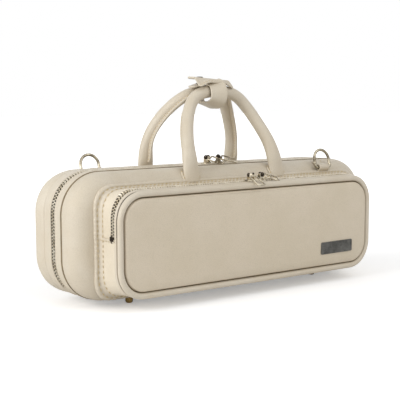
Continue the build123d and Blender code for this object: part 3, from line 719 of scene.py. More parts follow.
def piece(bm, name, body, finishes, slot, replaces=(), sharp=50, closed=True):
    """Turns a finished bmesh into an object that rides on a body. The underside of the case sags a little."""
    bmesh.ops.remove_doubles(bm, verts=bm.verts[:], dist=MM / 200)
    if closed:
        bmesh.ops.recalc_face_normals(bm, faces=bm.faces[:])
    if slot != "foot_metal":
        for vert in bm.verts:
            vert.co.z -= SAG * MM * (1 - ease(vert.co.z, 8 * MM, 60 * MM))
    mesh = bpy.data.meshes.new(name)
    bm.to_mesh(mesh)
    bm.free()
    mesh.shade_smooth()
    mesh.set_sharp_from_angle(angle=math.radians(sharp))
    made = bpy.data.objects.new(name, mesh)
    bpy.context.scene.collection.objects.link(made)
    for finish in finishes:
        mesh.materials.append(finish)
    if body:
        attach(made, body)
    if replaces:
        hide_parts(*replaces)
    print(f"{name}: {len(mesh.polygons)} faces")
    return made


def walled(made, thickness, edge=0.0):
    """Gives a thin skin its thickness inwards and, where asked, a small round along its edges."""
    wall = made.modifiers.new("wall", "SOLIDIFY")
    wall.thickness = thickness * MM
    wall.offset = -1
    if edge:
        lip = made.modifiers.new("lip", "BEVEL")
        lip.width = edge * MM
        lip.segments = 3
        lip.limit_method = "ANGLE"
        lip.angle_limit = math.radians(60)


# %% [markdown]
# ## Shells
# Each half of the case is a shallow tray of leathercloth over a stiff core: a rounded rectangle pushed out
# into a wall, its outer edge rolled over in one large bevel. The broad face is cut into squares first, so
# that it can swell by a millimetre, because no covered board stays quite flat.

# %% Both shells
LIP_FROM_MIDDLE, SHELL_DEPTH, ROLLED_EDGE = 18.7, 27.3, 20


def swell(verts, middle, reach, rise, direction):
    """Pushes the inside of a flat area out in a low crown."""
    for vert in verts:
        across = max(0.0, 1 - (vert.co.x / reach[0]) ** 2)
        up = max(0.0, 1 - ((vert.co.z - middle) / reach[1]) ** 2)
        vert.co += direction * (rise * math.sqrt(across * up) ** 1.3)


def cut_up(bm, faces, step):
    """Cuts faces into squares with planes across X and Z."""
    verts = {v for f in faces for v in f.verts}
    for axis, normal in ((0, (1, 0, 0)), (2, (0, 0, 1))):
        low = min(v.co[axis] for v in verts)
        high = max(v.co[axis] for v in verts)
        count = max(2, round((high - low) / step))
        for i in range(1, count):
            co = Vector()
            co[axis] = low + (high - low) * i / count
            corners_and_edges = {g for f in faces for g in (*f.edges, *f.verts)}
            geom = list(corners_and_edges | set(faces))
            cut = bmesh.ops.bisect_plane(bm, geom=geom, plane_co=co, plane_no=normal)["geom"]
            faces = [g for g in cut if isinstance(g, bmesh.types.BMFace)]
    return faces


for half, side in SIDES.items():
    bm = bmesh.new()
    back = standing_panel(bm, CASE_LENGTH, CASE_HEIGHT, CASE_CORNER, side * LIP_FROM_MIDDLE * MM)
    pushed(bm, [back], y=side * SHELL_DEPTH)
    bmesh.ops.delete(bm, geom=within(bm.faces, lambda co: abs(co.y) < 19 * MM), context="FACES")
    every_edge_soft(bm, ROLLED_EDGE * MM, 10, within(bm.edges, lambda co: abs(co.y) > 45 * MM))
    flat = cut_up(bm, within(bm.faces, lambda co: abs(co.y) > 45.999 * MM), 12 * MM)
    crown = {v for f in flat for v in f.verts}
    swell(crown, CASE_MIDDLE, (194 * MM, 47 * MM), 0.9 * MM, Vector((0, side, 0)))
    for vert in bm.verts if half == "rear" else ():
        fuller = ease(abs(vert.co.x), 165 * MM, 205 * MM) * ease(vert.co.y, 18.7 * MM, 34 * MM)
        vert.co.x += math.copysign(3.8 * MM * fuller, vert.co.x)
    shell = piece(bm, f"{half}_shell_skin", HALF_BODY[half], [leather], "shell", [f"{half}_shell"])
    walled(shell, 2.4, 0.8)

# %% [markdown]
# ## Gussets and seams
# Between each shell and the zip runs a gusset, a narrow belt of the same leathercloth. On the front half its
# edge next to the shell is turned over a cord and stands a little proud, and the seam behind it is a thin
# brown line of painted shade in its groove. On the rear half the seam is the colour of the leather.
# Its other edge is folded back beside the zip teeth. One flat section is swept round the case for the belt,
# and small rounded ones for its folded edges: two on the front half and one on the rear.

# %% Gussets
case_frames = frames_on(case_line, closed=True)


def beside(frames, x, y=0.0):
    """Frames moved across and outwards, in millimetres."""
    return [frame_here @ moved(x, y) for frame_here in frames]


for half, side in SIDES.items():
    bm = bmesh.new()
    width, middle = {"front": (13.0, 10.9), "rear": (14.6, 11.7)}[half]
    belt = strap_section(bm, width * MM, 2.4 * MM, 0.8 * MM, 6)
    sweep(bm, belt, beside(case_frames, -side * middle, -1.2), closed=True)
    if half == "front":
        sweep(bm, ring_section(bm, 1.7 * MM, 12, 0.62), beside(case_frames, -side * 15.7, -0.35), closed=True)
    lip = ring_section(bm, 1.1 * MM, 10, 0.8)
    sweep(bm, lip, beside(case_frames, -side * 5.2, -0.45), closed=True)
    piece(bm, f"{half}_gusset_belt", HALF_BODY[half], [smooth_leather], "leather", [f"{half}_gusset"])

    bm = bmesh.new()
    radius, sunk = {"front": (1.75, -1.0), "rear": (1.5, -2.4)}[half]
    sweep(bm, ring_section(bm, radius * MM, 10), beside(case_frames, -side * 18.0, sunk), closed=True)
    # The front seam is brown as painted shade in its groove; the rear one is plain leather.
    seam_finish = groove_shade if half == "front" else leather
    piece(bm, f"{half}_seam", HALF_BODY[half], [seam_finish], "welt", [f"{half}_welt"])

# %% [markdown]
# ## The fold under the zip
# The two halves are one piece of leathercloth at the bottom, and that fold is the hinge. It is laid in place
# once and rides on neither half.

# %% Bottom fold
ZIP_LOW = 21.6 * MM
fine_line = evenly(case_line, 3 * MM, closed=True)
high_start = next(i for i, p in enumerate(fine_line) if p.z > ZIP_LOW)
high_end = max(i for i, p in enumerate(fine_line) if p.z > ZIP_LOW)
under = fine_line[high_end + 1:] + fine_line[:high_start]
bm = bmesh.new()
fold_section = strap_section(bm, 9.6 * MM, 1.4 * MM, 0.4 * MM, 12)
sweep(bm, fold_section, beside(frames_on(under), 0, -0.9))
fold = piece(bm, "bottom_fold", None, [smooth_leather], "leather")
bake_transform(fold)

# %% [markdown]
# ## Zip teeth
# Metal zip teeth sit in two rows that take turns, each tooth leaning a little, which gives the fishbone
# look. There are hundreds, so each is a box with its edges taken off once and no more.

# %% Teeth helper and the main zip
def tooth_row(bm, frames, side, reach, width, height, lean):
    """One tooth at each frame. Each starts just past the middle of the zip and leans along it."""
    lie = Matrix.Rotation(math.radians(side * lean), 4, "Y")
    for frame_here in frames:
        shape = Matrix.Diagonal((reach * MM, height * MM, width * MM, 1))
        middle = moved(-side * (reach / 2 - 0.3), -height / 2)
        bmesh.ops.create_cube(bm, size=1, matrix=frame_here @ lie @ middle @ shape)
    every_edge_soft(bm, 0.24 * MM, 1)


run = [p for p in fine_line if p.z > ZIP_LOW + MM]
MAIN_PITCH = 3.5
zip_places = frames_on(evenly(run, MAIN_PITCH / 2 * MM))
for half, side in SIDES.items():
    bm = bmesh.new()
    mine = zip_places[1::2] if half == "front" else zip_places[2::2]
    tooth_row(bm, beside(mine, 0, 0.1), side, 3.8, 1.45, 2.6, 16)
    piece(bm, f"{half}_zip_teeth_row", HALF_BODY[half], [tooth_metal], "zip_teeth", [f"{half}_zip_teeth"], 30)

# %% [markdown]
# ### Tapes and stops
# Each row of teeth is clamped to the edge of a woven tape. Only a dark line of it shows beside the teeth,
# so one flat section swept under the zip is enough. At the bottom corners a small metal bar ends the zip.

# %% Main zip tapes
for half, side in SIDES.items():
    bm = bmesh.new()
    tape = strap_section(bm, 8.8 * MM, 0.9 * MM, 0.3 * MM, 4)
    sweep(bm, tape, beside(frames_on(run), -side * 7.0, -1.55))
    piece(bm, f"{half}_zip_tape_cloth", HALF_BODY[half], [twill], "zip_tape", [f"{half}_zip_tape"])

# %% Zip stops
fine_frames = frames_on(fine_line, closed=True)
for end_name, end in ENDS.items():
    bm = bmesh.new()
    corner = Vector((end * CASE_LENGTH / 2, 0, ZIP_LOW - MM))
    here = min(fine_frames, key=lambda f: (f.translation - corner).length)
    bar = here @ moved(0, -1.9) @ Matrix.Diagonal((5.6 * MM, 2.6 * MM, 1.9 * MM, 1))
    bmesh.ops.create_cube(bm, size=1, matrix=bar)
    every_edge_soft(bm, 0.5 * MM, 3)
    solid = f"zip_stop_{end_name}"
    piece(bm, f"zip_stop_bar_{end_name}", "case_rear", [tooth_metal], "zip_teeth", [solid], 60)

# %% [markdown]
# ## Feet
# Four turned brass studs. A lathe makes them, so a profile of edges is spun round the upright line through
# each foot, with a small dome on the ground and a washer against the leather.

# %% Lathe and feet
FOOT_ACROSS, FOOT_ALONG = 29, 138
FOOT_PROFILE = [
    (0, 0), (2.2, 0.05), (3.4, 0.5), (4.1, 1.5), (4.3, 3.0), (4.2, 5.9), (4.6, 6.6),
    (5.2, 6.9), (5.5, 7.5), (5.4, 8.2), (4.6, 8.5), (2.0, 8.6), (0, 8.6),
]


def turned(name, profile, centre, body, finish, slot, replaces, sharp=40):
    """Spins a profile of (radius, height) in millimetres round the upright line through a centre."""
    bm = bmesh.new()
    verts = [bm.verts.new(Vector((r, 0, z)) * MM) for r, z in profile]
    edges = [bm.edges.new(pair) for pair in zip(verts, verts[1:])]
    bmesh.ops.spin(
        bm, geom=verts + edges, cent=(0, 0, 0), axis=(0, 0, 1), dvec=(0, 0, 0),
        angle=math.tau, steps=32, use_merge=True, use_duplicate=False,
    )
    bmesh.ops.translate(bm, vec=Vector(centre) * MM, verts=bm.verts[:])
    piece(bm, name, body, [finish], slot, replaces, sharp)


for half, side in SIDES.items():
    for end_name, end in ENDS.items():
        turned(
            f"{half}_stud_{end_name}", FOOT_PROFILE, (end * FOOT_ALONG, side * FOOT_ACROSS, 0),
            HALF_BODY[half], foot_metal, "foot_metal", [f"{half}_foot_{end_name}"], sharp=50,
        )

# %% [markdown]
# ## Front pocket
# The pocket is a soft box sewn to the front: a binding round its foot, a gusset with a zip in its upper
# half, and a front panel with a thick rolled rim. All of it hangs from the case, so it is a little wider at
# its foot and sags a few millimetres towards the front. One function holds that lean, and every pocket
# piece goes through it, so that they still fit each other.

# %% How the pocket hangs
POCKET_MIDDLE = 73.5 * MM
POCKET_WIDTH, POCKET_HEIGHT, POCKET_CORNER = 369 * MM, 110 * MM, 31 * MM
POCKET_LOW, POCKET_TOP = 18.5 * MM, 128.5 * MM
POCKET_DEPTH = 38.3 * MM
WIDER_FOOT, FRONT_SAG, TOP_CROWN = 2.6 * MM, 2.6 * MM, 2.3 * MM
SPLIT = 78.2 * MM
CASE_FRONT = 46 * MM


def clamped(value):
    """A value kept between 0 and 1."""
    return min(max(value, 0), 1)


def case_face(x, z):
    """How far the front of the case stands out at a place, its rolled edge included."""
    from_end = CASE_LENGTH / 2 - abs(x)
    from_edge = CASE_HEIGHT / 2 - abs(z - CASE_MIDDLE)
    inside = min(from_end, from_edge)
    if inside < CASE_CORNER:
        past_end, past_edge = max(CASE_CORNER - from_end, 0), max(CASE_CORNER - from_edge, 0)
        inside = CASE_CORNER - math.hypot(past_end, past_edge)
    roll = ROLLED_EDGE * MM
    drop = min(max(roll - inside, 0), roll)
    return CASE_FRONT - roll + math.sqrt(roll ** 2 - drop ** 2)


def stands_out(co):
    """0 at the foot of the pocket and 1 at its front."""
    return clamped((-co.y - CASE_FRONT) / POCKET_DEPTH)


def tighten(verts):
    """Makes the corners of the pocket sharper towards its foot."""
    for vert in verts:
        over_x = abs(vert.co.x) - POCKET_WIDTH / 2 + POCKET_CORNER
        over_z = abs(vert.co.z - POCKET_MIDDLE) - POCKET_HEIGHT / 2 + POCKET_CORNER
        if over_x > 0 and over_z > 0:
            push = 0.16 * (1 - stands_out(vert.co)) * math.sin(2 * math.atan2(over_z, over_x)) ** 2
            vert.co.x += math.copysign(over_x * push, vert.co.x)
            vert.co.z += math.copysign(over_z * push, vert.co.z - POCKET_MIDDLE)


def hang(verts, tight=False):
    """Widens the pocket towards its foot, lets it sag towards its front and crowns its top."""
    if not tight:
        tighten(verts)
    for vert in verts:
        x, y, z = vert.co
        out = stands_out(vert.co)
        spread = WIDER_FOOT * (1 - out) ** 2
        vert.co.x += spread * x / (POCKET_WIDTH / 2)
        vert.co.z += spread * min(z - POCKET_MIDDLE, 0) / (POCKET_HEIGHT / 2)
        low = clamped((POCKET_TOP - z) / (POCKET_TOP - POCKET_LOW))
        belly = 1 - 0.35 * min(abs(x) / (POCKET_WIDTH / 2), 1) ** 4
        vert.co.z -= FRONT_SAG * out * low * belly
        across = clamped((-y - 49 * MM) / (30 * MM))
        vert.co.z += TOP_CROWN * ease(z, 116 * MM, 127 * MM) * math.sin(math.pi * across)


pocket_line = outline(POCKET_WIDTH, POCKET_HEIGHT, POCKET_CORNER, 0, POCKET_MIDDLE)
print("front of the case at its lower edge:", round(case_face(0, 14 * MM) * 1000, 1), "mm")

# %% [markdown]
# ### Binding
# The binding is a strip sewn down round the pocket's foot. It puckers beside its stitches, so its section
# gets a hair wider and narrower as it is swept. It is laid on the curved front of the case by moving each
# point back by as much as the case falls away there. Above the side seams it laps over the lower strip and
# is slightly larger.

# %% Binding and its stitches
BIND_PROFILE = [
    (44.4, 4.6), (47.2, 5.4), (48.6, 4.9), (49.25, 3.9), (49.2, 2.9), (48.75, 2.2), (49.1, 1.4),
    (49.5, 0.8), (50.6, 0.35), (52.4, 0.1), (53.4, -0.6), (52.0, -2.2), (46.5, -2.4), (44.4, -1.0),
]


def lay_on_case(verts):
    """Moves points back by as much as the front of the case falls away."""
    for vert in verts:
        vert.co.y += CASE_FRONT - case_face(vert.co.x, vert.co.z)


bind_frames = frames_on(evenly(pocket_line, 1.1 * MM, closed=True), closed=True)
bm = bmesh.new()
ring = bmesh.ops.create_circle(bm, segments=len(BIND_PROFILE), radius=MM)["verts"]
for vert, (depth, out) in zip(ring, BIND_PROFILE):
    vert.co = Vector((depth, out, 0)) * MM
ring_edges = list({e for v in ring for e in v.link_edges})
pucker = []
for i, frame_here in enumerate(bind_frames):
    at = frame_here.translation
    ripple = 0.42 * math.sin(i * math.tau / 4.3) + 0.2 * math.sin(i * math.tau / 6.9 + 1.3)
    lap = 0.5 * ease(at.z, 77.2 * MM, 78.6 * MM)
    grow = Matrix.Diagonal((1 + 0.006 * ripple, 1 + 0.07 * ripple, 1, 1))
    pucker.append(frame_here @ moved(0.25 * ripple + lap * 0.5, lap) @ grow)
sweep(bm, ring_edges, pucker, closed=True)
sewn = frames_on(evenly(pocket_line, 5.2 * MM, closed=True), closed=True)
stitches(bm, beside(sewn, 49.15, 2.45), 3.4, 0.85)
tighten(bm.verts)
lay_on_case(bm.verts)
tighten(stitches(bm, beside(sewn, 54.3, 0.25), 3.4, 0.75))
hang(bm.verts, tight=True)
piece(bm, "pocket_binding_strip", "lid", [smooth_leather, thread], "leather", ["pocket_binding"])

# %% [markdown]
# ### Gusset
# The gusset is the belt round the pocket. Below the side seams it is one piece from the case to the rim.
# Above them it ends at the zip, and the narrow belt on the other side of the zip belongs to the flap. Each
# is an outline pushed out along Y, cut level at the seam, and given its thickness and its soft edges by
# modifiers.

# %% Gusset walls
def pocket_belt(name, start, end, replaces, low=None, high=None, dip=0.0):
    """A belt of the pocket gusset between two depths, above or below a height, drawn in by dip."""
    bm = bmesh.new()
    face = standing_panel(bm, POCKET_WIDTH, POCKET_HEIGHT, POCKET_CORNER, -start * MM, POCKET_MIDDLE)
    edges = list(face.edges)
    bmesh.ops.delete(bm, geom=[face], context="FACES_ONLY")
    grown = bmesh.ops.extrude_edge_only(bm, edges=edges)["geom"]
    outer = [g for g in grown if isinstance(g, bmesh.types.BMVert)]
    bmesh.ops.translate(bm, vec=(0, -(end - start) * MM, 0), verts=outer)
    for height, clear in ((low, "clear_inner"), (high, "clear_outer")):
        if height is not None:
            sliced(bm, 2, height, **{clear: True})
    bmesh.ops.recalc_face_normals(bm, faces=bm.faces[:])
    middle = Vector((0, -(start + end) / 2 * MM, POCKET_MIDDLE))
    side_face = max(bm.faces, key=lambda f: f.calc_center_median().x)
    if side_face.normal.dot(side_face.calc_center_median() - middle) < 0:
        bmesh.ops.reverse_faces(bm, faces=bm.faces[:])
    cuts = max(2, round((end - start) / 2.2))
    for i in range(1, cuts):
        sliced(bm, 1, -(start + (end - start) * i / cuts) * MM)
    for at in range(-174, 175, 12):
        sliced(bm, 0, at * MM)
    for vert in bm.verts:
        share = (-vert.co.y - start * MM) / ((end - start) * MM)
        out = Vector((vert.co.x / POCKET_WIDTH, 0, (vert.co.z - POCKET_MIDDLE) / POCKET_HEIGHT)).normalized()
        vert.co -= out * dip * MM * math.sin(math.pi * share)
    tighten(bm.verts)
    for vert in bm.verts:
        back = 1 - ease(-vert.co.y, start * MM, (start + 10) * MM)
        vert.co.y += back * (CASE_FRONT - case_face(vert.co.x, vert.co.z))
    hang(bm.verts, tight=True)
    # The gusset wears the lighter copy of the cream, which is painted light.
    made = piece(bm, name, "lid", [lit_leather], "leather", replaces, closed=False)
    walled(made, 1.8, 0.7)


SEAM_GAP = 0.1 * MM
pocket_belt("pocket_gusset_low", 50, 74.6, ["pocket_lower"], high=SPLIT - SEAM_GAP, dip=0.7)
pocket_belt("pocket_gusset_top", 50, 67.3, ["pocket_band"], low=SPLIT + SEAM_GAP, dip=0.5)

# %% [markdown]
# The side seams are sewn level across the gusset, just under the end of the zip. A narrow turned edge with
# a row of stitches shows on each side.

# %% Side seams
for end_name, end in ENDS.items():
    bm = bmesh.new()
    level = [Vector((end * 184.7, -50.5 - i * 1.5, 78.4)) * MM for i in range(17)]
    strip = frames_on(level, facing(end, 0, 0))
    sweep(bm, strap_section(bm, 3.4 * MM, 1.3 * MM, 0.5 * MM, 2), strip)
    row = [Vector((end * 185.25, y, 77.2)) * MM for y in (-52, -74)]
    stitches(bm, frames_on(evenly(row, 4.4 * MM), facing(end, 0, 0))[:-1], 3.0, 0.7)
    hang(bm.verts)
    piece(bm, f"pocket_side_seam_{end_name}", "lid", [smooth_leather, thread], "leather")

# %% [markdown]
# ### Front panel and rim
# The front is a padded panel inside a thick rolled rim. A flat dark plate lies under both, and the rim and
# panel lie on it; where it shows in the grooves on both sides of the rim, its colour is painted shade. The
# flap is the upper half of this front, and the front is cut level across where the zip ends. It is laid in
# place once and rides on no body.

# %% Pocket front
GROOVE_SHADE, ROLL = 2, 1


def pocket_panel(bm, inset, corner, depth):
    """An upright face with the pocket's outline, drawn in by so many millimetres."""
    width, height = (size - 2 * inset * MM for size in (POCKET_WIDTH, POCKET_HEIGHT))
    return standing_panel(bm, width, height, corner * MM, depth * MM, POCKET_MIDDLE)


def wave(x):
    """The uneven line of a seam that was turned by hand."""
    return math.sin(x / (21 * MM) + 1.7 * math.sin(x / (63 * MM))) + 0.5 * math.sin(x / (9 * MM))


bm = bmesh.new()
pushed(bm, [pocket_panel(bm, 1, 30, -78.2)], y=-2.2)
cut_up(bm, bm.faces[:], 12 * MM)
# The plate is coloured as painted shade where it shows in the rim's grooves.
for face in bm.faces:
    face.material_index = GROOVE_SHADE
pushed(bm, [pocket_panel(bm, 7.4, 23.6, -79.5)], y=-4.6)
every_edge_soft(bm, 2.2 * MM, 5, within(bm.edges, lambda co: co.y < -84 * MM))
flat = cut_up(bm, within(bm.faces, lambda co: co.y < -84.0999 * MM), 7 * MM)
pad_verts = {v for f in flat for v in f.verts}
swell(pad_verts, POCKET_MIDDLE, (176 * MM, 46.5 * MM), 1.5 * MM, FRONT)
for vert in pad_verts:
    near_top = ease(vert.co.z, 96 * MM, 116 * MM) * (1 - ease(vert.co.z, 118 * MM, 121 * MM))
    vert.co.y -= 0.22 * MM * near_top * wave(vert.co.x)
rim_frames = frames_on(pocket_line, closed=True)
sweep(bm, ring_section(bm, 3.25 * MM, 20), beside(rim_frames, 81.0, -2.8), closed=True, finish=ROLL)
front_strip = strap_section(bm, 3.6 * MM, 1.8 * MM, 0.6 * MM, 3)
sweep(bm, front_strip, beside(rim_frames, 75.4, -0.9), closed=True, finish=ROLL)
for height in (72, 75, 78.2, 81, 84):
    sliced(bm, 2, height * MM)
hang(bm.verts)
# The padded panel wears its warmer, lighter copy of the cream, which is painted light.
pocket_front = piece(
    bm, "pocket_front", None, [lit_panel_leather, smooth_leather, groove_shade], "leather",
    ["pocket_flap", "pocket_welt_lower", "pocket_welt_flap"],
)
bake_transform(pocket_front)

# %% [markdown]
# ### Pocket zip
# The same kind of zip as the main one, a size smaller, on two cloth tapes of which only the edge shows.

# %% Pocket zip
POCKET_ZIP = 70.5
pocket_fine = evenly(pocket_line, 2.5 * MM, closed=True)
pocket_run = [p for p in pocket_fine if p.z > 81.2 * MM]
pocket_places = frames_on(evenly(pocket_run, 1.6 * MM))
for half, side, first, body, solid in (
    ("back", 1, 2, "lid", "pocket_zip_fixed"),
    ("front", -1, 1, "pocket_flap", "pocket_zip_flap"),
):
    bm = bmesh.new()
    tooth_row(bm, beside(pocket_places[first::2], POCKET_ZIP, -0.2), side, 3.4, 1.3, 2.2, 16)
    for face in bm.faces:
        face.material_index = 1
    tape_frames = beside(frames_on(pocket_run), POCKET_ZIP - side * 5.0, -1.15)
    sweep(bm, strap_section(bm, 6.4 * MM, 0.7 * MM, 0.2 * MM, 2), tape_frames)
    hang(bm.verts)
    piece(bm, f"pocket_zip_{half}", body, [twill, tooth_metal], "zip_teeth", [solid], 30)

# %% Pocket zip stops
for end_name, end in ENDS.items():
    bm = bmesh.new()
    clamp = moved(end * 184.3, -POCKET_ZIP, 80.2)
    tail = clamp @ moved(end * 0.8, 0.6, -2.4) @ Matrix.Rotation(0.25, 4, "X")
    for place, size in ((clamp, (2.8, 6.8, 4.8)), (tail, (1.2, 2.2, 3.6))):
        bmesh.ops.create_cube(bm, size=1, matrix=place @ Matrix.Diagonal((*(Vector(size) * MM), 1)))
    every_edge_soft(bm, 0.45 * MM, 3)
    hang(bm.verts)
    solid = f"pocket_stop_{end_name}"
    piece(bm, f"pocket_stop_clamp_{end_name}", "lid", [dark_metal], "slider_metal", [solid], 60)

# %% [markdown]
# ## Name plate
# A small brushed plate is riveted low on the pocket. It is left bare. A shallow border is pressed into it:
# the face is inset twice, and the inner part let down a little.

# %% Name plate
bm = bmesh.new()
blank = standing_panel(bm, 52 * MM, 13.7 * MM, 1.5 * MM, -84.5 * MM, 46 * MM, 4)
bmesh.ops.translate(bm, vec=(125.8 * MM, 0, 0), verts=blank.verts)
pushed(bm, [blank], y=-1.5)
every_edge_soft(bm, 0.4 * MM, 3, within(bm.edges, lambda co: co.y < -85.9 * MM))
face = max((f for f in bm.faces if f.calc_center_median().y < -85.9 * MM), key=lambda f: f.calc_area())
bmesh.ops.inset_region(bm, faces=[face], thickness=0.7 * MM, depth=0)
bmesh.ops.inset_region(bm, faces=[face], thickness=0.25 * MM, depth=-0.25 * MM)
hang(bm.verts)
piece(bm, "name_plate_face", "lid", [plate_metal], "plate_metal", ["name_plate"], 30)

# %% [markdown]
# ## Handles
# Each handle is a rope core in a tube of leathercloth whose seam allowance stands up along the inside of
# the arch and is sewn through. At each foot the tube is pressed flat into a tab and sewn to the round
# shoulder of the case. A smooth curve carries the whole run, from tab to tab, and the swept ring is made
# wide and flat where the tab is.

# %% A smooth run through guide points
def smooth_run(guides, order=4, pitch=3.0):
    """Evenly spaced points on a smooth curve that is drawn towards guide points in millimetres."""
    data = bpy.data.curves.new("run", "CURVE")
    data.dimensions = "3D"
    spline = data.splines.new("NURBS")
    spline.points.add(len(guides) - 1)
    for control, guide in zip(spline.points, guides):
        control.co = (*(Vector(guide) * MM), 1)
    spline.use_endpoint_u = True
    spline.order_u = order
    spline.resolution_u = 16
    holder = bpy.data.objects.new("run", data)
    mesh = bpy.data.meshes.new_from_object(holder)
    points = [v.co.copy() for v in mesh.vertices]
    bpy.data.objects.remove(holder)
    bpy.data.curves.remove(data)
    bpy.data.meshes.remove(mesh)
    return evenly(points, pitch * MM)


SHOULDER_Y, SHOULDER_Z = 26, 125.5


def on_shoulder(side, angle, radius, x):
    """A guide point round the rolled top edge of one shell."""
    turn = math.radians(angle)
    return (x, side * (SHOULDER_Y + radius * math.cos(turn)), SHOULDER_Z + radius * math.sin(turn))


HANDLE_GUIDES = {
    "front": [
        on_shoulder(-1, 13, 22.3, 63.4), on_shoulder(-1, 28, 22.6, 63.4), on_shoulder(-1, 43, 24.2, 63.2),
        on_shoulder(-1, 54, 27.8, 62.8),
        (62.2, -39.5, 156), (60.5, -34.2, 172), (53.5, -22.8, 192), (40, -9.8, 218), (23, -8, 231.5),
    ],
    "rear": [
        on_shoulder(1, 13, 22.3, 65), on_shoulder(1, 28, 22.6, 65), on_shoulder(1, 41, 24.2, 65),
        on_shoulder(1, 50, 28.0, 65),
        (65, 43.8, 154), (64.8, 42.5, 172), (56, 36.8, 194), (37, 22.8, 219), (20, 8, 231.5),
    ],
}


def bends_with_handle(made):
    """Bakes a piece's place into its mesh. The piece rides on no body and does not bend with the handle."""
    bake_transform(made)


# %% Handle leather
def foot_size(z):
    """Half width and half thickness of the tube at a height. The foot is pressed wide and flat."""
    flare = 1 - ease(z, 146 * MM, 180 * MM)
    pressed = 1 - ease(z, 131 * MM, 158 * MM)
    return (7.0 + 2.8 * flare + 0.8 * pressed) * MM, (7.0 - 0.3 * flare - 4.0 * pressed) * MM


def end_on(frames, sizes):
    """Rounds both ends of a run of frames by drawing them in."""
    made = list(frames)
    for i, size in enumerate(sizes):
        for k in (i, -1 - i):
            made[k] = frames[k] @ Matrix.Diagonal((size, size, 1, 1))
    return made


def tube_depth(place):
    """Half the thickness of the tube at a frame, in millimetres."""
    return foot_size(place.translation.z)[1] / MM


def clear_of_wrap(place):
    """0 under the wrap and 1 where the sewn edge inside the arch is free."""
    return ease(abs(place.translation.y), 9 * MM, 17 * MM)


handle_runs = {}
for half, side in SIDES.items():
    right = HANDLE_GUIDES[half]
    left = [(-x, y, z) for x, y, z in reversed(right)]
    run = smooth_run(right + left)
    handle_runs[half] = run
    outwards = facing(0, side, 0)
    bm = bmesh.new()
    tube = []
    for place in frames_on(run, outwards):
        wide, thick = foot_size(place.translation.z)
        tube.append(place @ Matrix.Diagonal((wide / MM, thick / MM, 1, 1)))
    sweep(bm, ring_section(bm, MM, 24), end_on(tube, (0.72, 0.92, 0.99)))

    for end in (1, -1):
        seam_run = [p for p in run if p.x * end > 0 and p.z > 147 * MM and abs(p.y) > 10.5 * MM]
        flange, sewn = [], []
        for place in frames_on(seam_run, outwards):
            grown = clear_of_wrap(place) * ease(place.translation.z, 144 * MM, 152 * MM)
            low = moved(0, -tube_depth(place) - 1.9 * grown)
            flange.append(place @ low @ Matrix.Diagonal((1, 0.3 + 0.7 * grown, 1, 1)))
        sweep(bm, strap_section(bm, 2.5 * MM, 5.4 * MM, 1.0 * MM, 1), flange)
        for place in frames_on(evenly(seam_run, 3.9 * MM), outwards)[1:-1]:
            low = moved(0, -tube_depth(place) - 2.1 * clear_of_wrap(place))
            sewn.append(place @ low @ Matrix.Diagonal((3.7, 1, 1, 1)))
        stitches(bm, sewn, 2.9, 1.1)

        foot_x = end * right[0][0]
        tab = [Vector(on_shoulder(side, angle, 21.2, foot_x)) * MM for angle in range(16, 52, 3)]
        tab_frames = end_on(frames_on(tab, facing(0, side, 0.6)), (0.9, 0.98))
        sweep(bm, strap_section(bm, 24 * MM, 2.2 * MM, 0.8 * MM, 1), tab_frames)
        row = frames_on(evenly(tab, 3.6 * MM), facing(0, side, 0.6))[1:]
        for across in (-10.9, 10.9):
            stitches(bm, beside(row, across, 1.15), 2.6, 0.8)
    handle = piece(
        bm, f"{half}_handle_leather", None, [smooth_leather, thread], "leather",
        [f"{half}_handle", f"{half}_handle_tab_left", f"{half}_handle_tab_right"],
    )
    bends_with_handle(handle)
    print(half, "handle run", round(length_of(run), 3), "m")

# %% [markdown]
# ### Rope cores
# The leather tube is filled with a rope of three strands, which can be seen only when the handle is taken
# apart. Each strand runs in a slow screw round the middle of the handle, and a circle is swept along it.

# %% Rope cores
STRANDS, STEPS_PER_TURN = 3, 18
for half, side in SIDES.items():
    bm = bmesh.new()
    inside = frames_on(evenly(handle_runs[half][5:-5], 2 * MM), facing(0, side, 0))
    for strand in range(STRANDS):
        twisted = []
        for i, place in enumerate(inside):
            turn = strand * math.tau / STRANDS + i * math.tau / STEPS_PER_TURN
            twisted.append((place @ moved(2.2 * math.cos(turn), 2.2 * math.sin(turn))).translation)
        sweep(bm, ring_section(bm, 2.3 * MM, 10), frames_on(twisted, facing(0, side, 0)))
    rope = piece(bm, f"{half}_handle_rope", None, [rope_fibre], "core", [f"{half}_handle_core"])
    bends_with_handle(rope)

# %% [markdown]
# ## Wrap
# A strap of doubled leathercloth hangs loosely under both handles and goes up their outer sides. Its wide
# upper flap lies over the lower one, and its front edge hangs down over the strap. The snap joins the flaps
# at the left, where they stand a little apart.

# %% Wrap helpers
WRAP_X = -5
WRAP_FINISHES = [smooth_leather, thread, painted_edge]
PAINTED = 2
LEAF_WIDTH, LEAF_THICKNESS = 20.6 * MM, 2.2 * MM


def leaf(bm, guides):
    """A strap across X along a run in the YZ plane, outwards away from the grip, its edges painted."""
    grip_middle = Vector((0, 0, 228)) * MM
    run = smooth_run([(WRAP_X, y, z) for y, z in guides], 3, 1.5)
    section = strap_section(bm, LEAF_WIDTH, LEAF_THICKNESS, 0.8 * MM, 8)
    made = sweep(bm, section, frames_on(run, away_from(grip_middle)))
    for face in {f for v in made for f in v.link_faces}:
        if abs(face.calc_center_median().x - WRAP_X * MM) > LEAF_WIDTH / 2 - 0.5 * MM:
            face.material_index = PAINTED


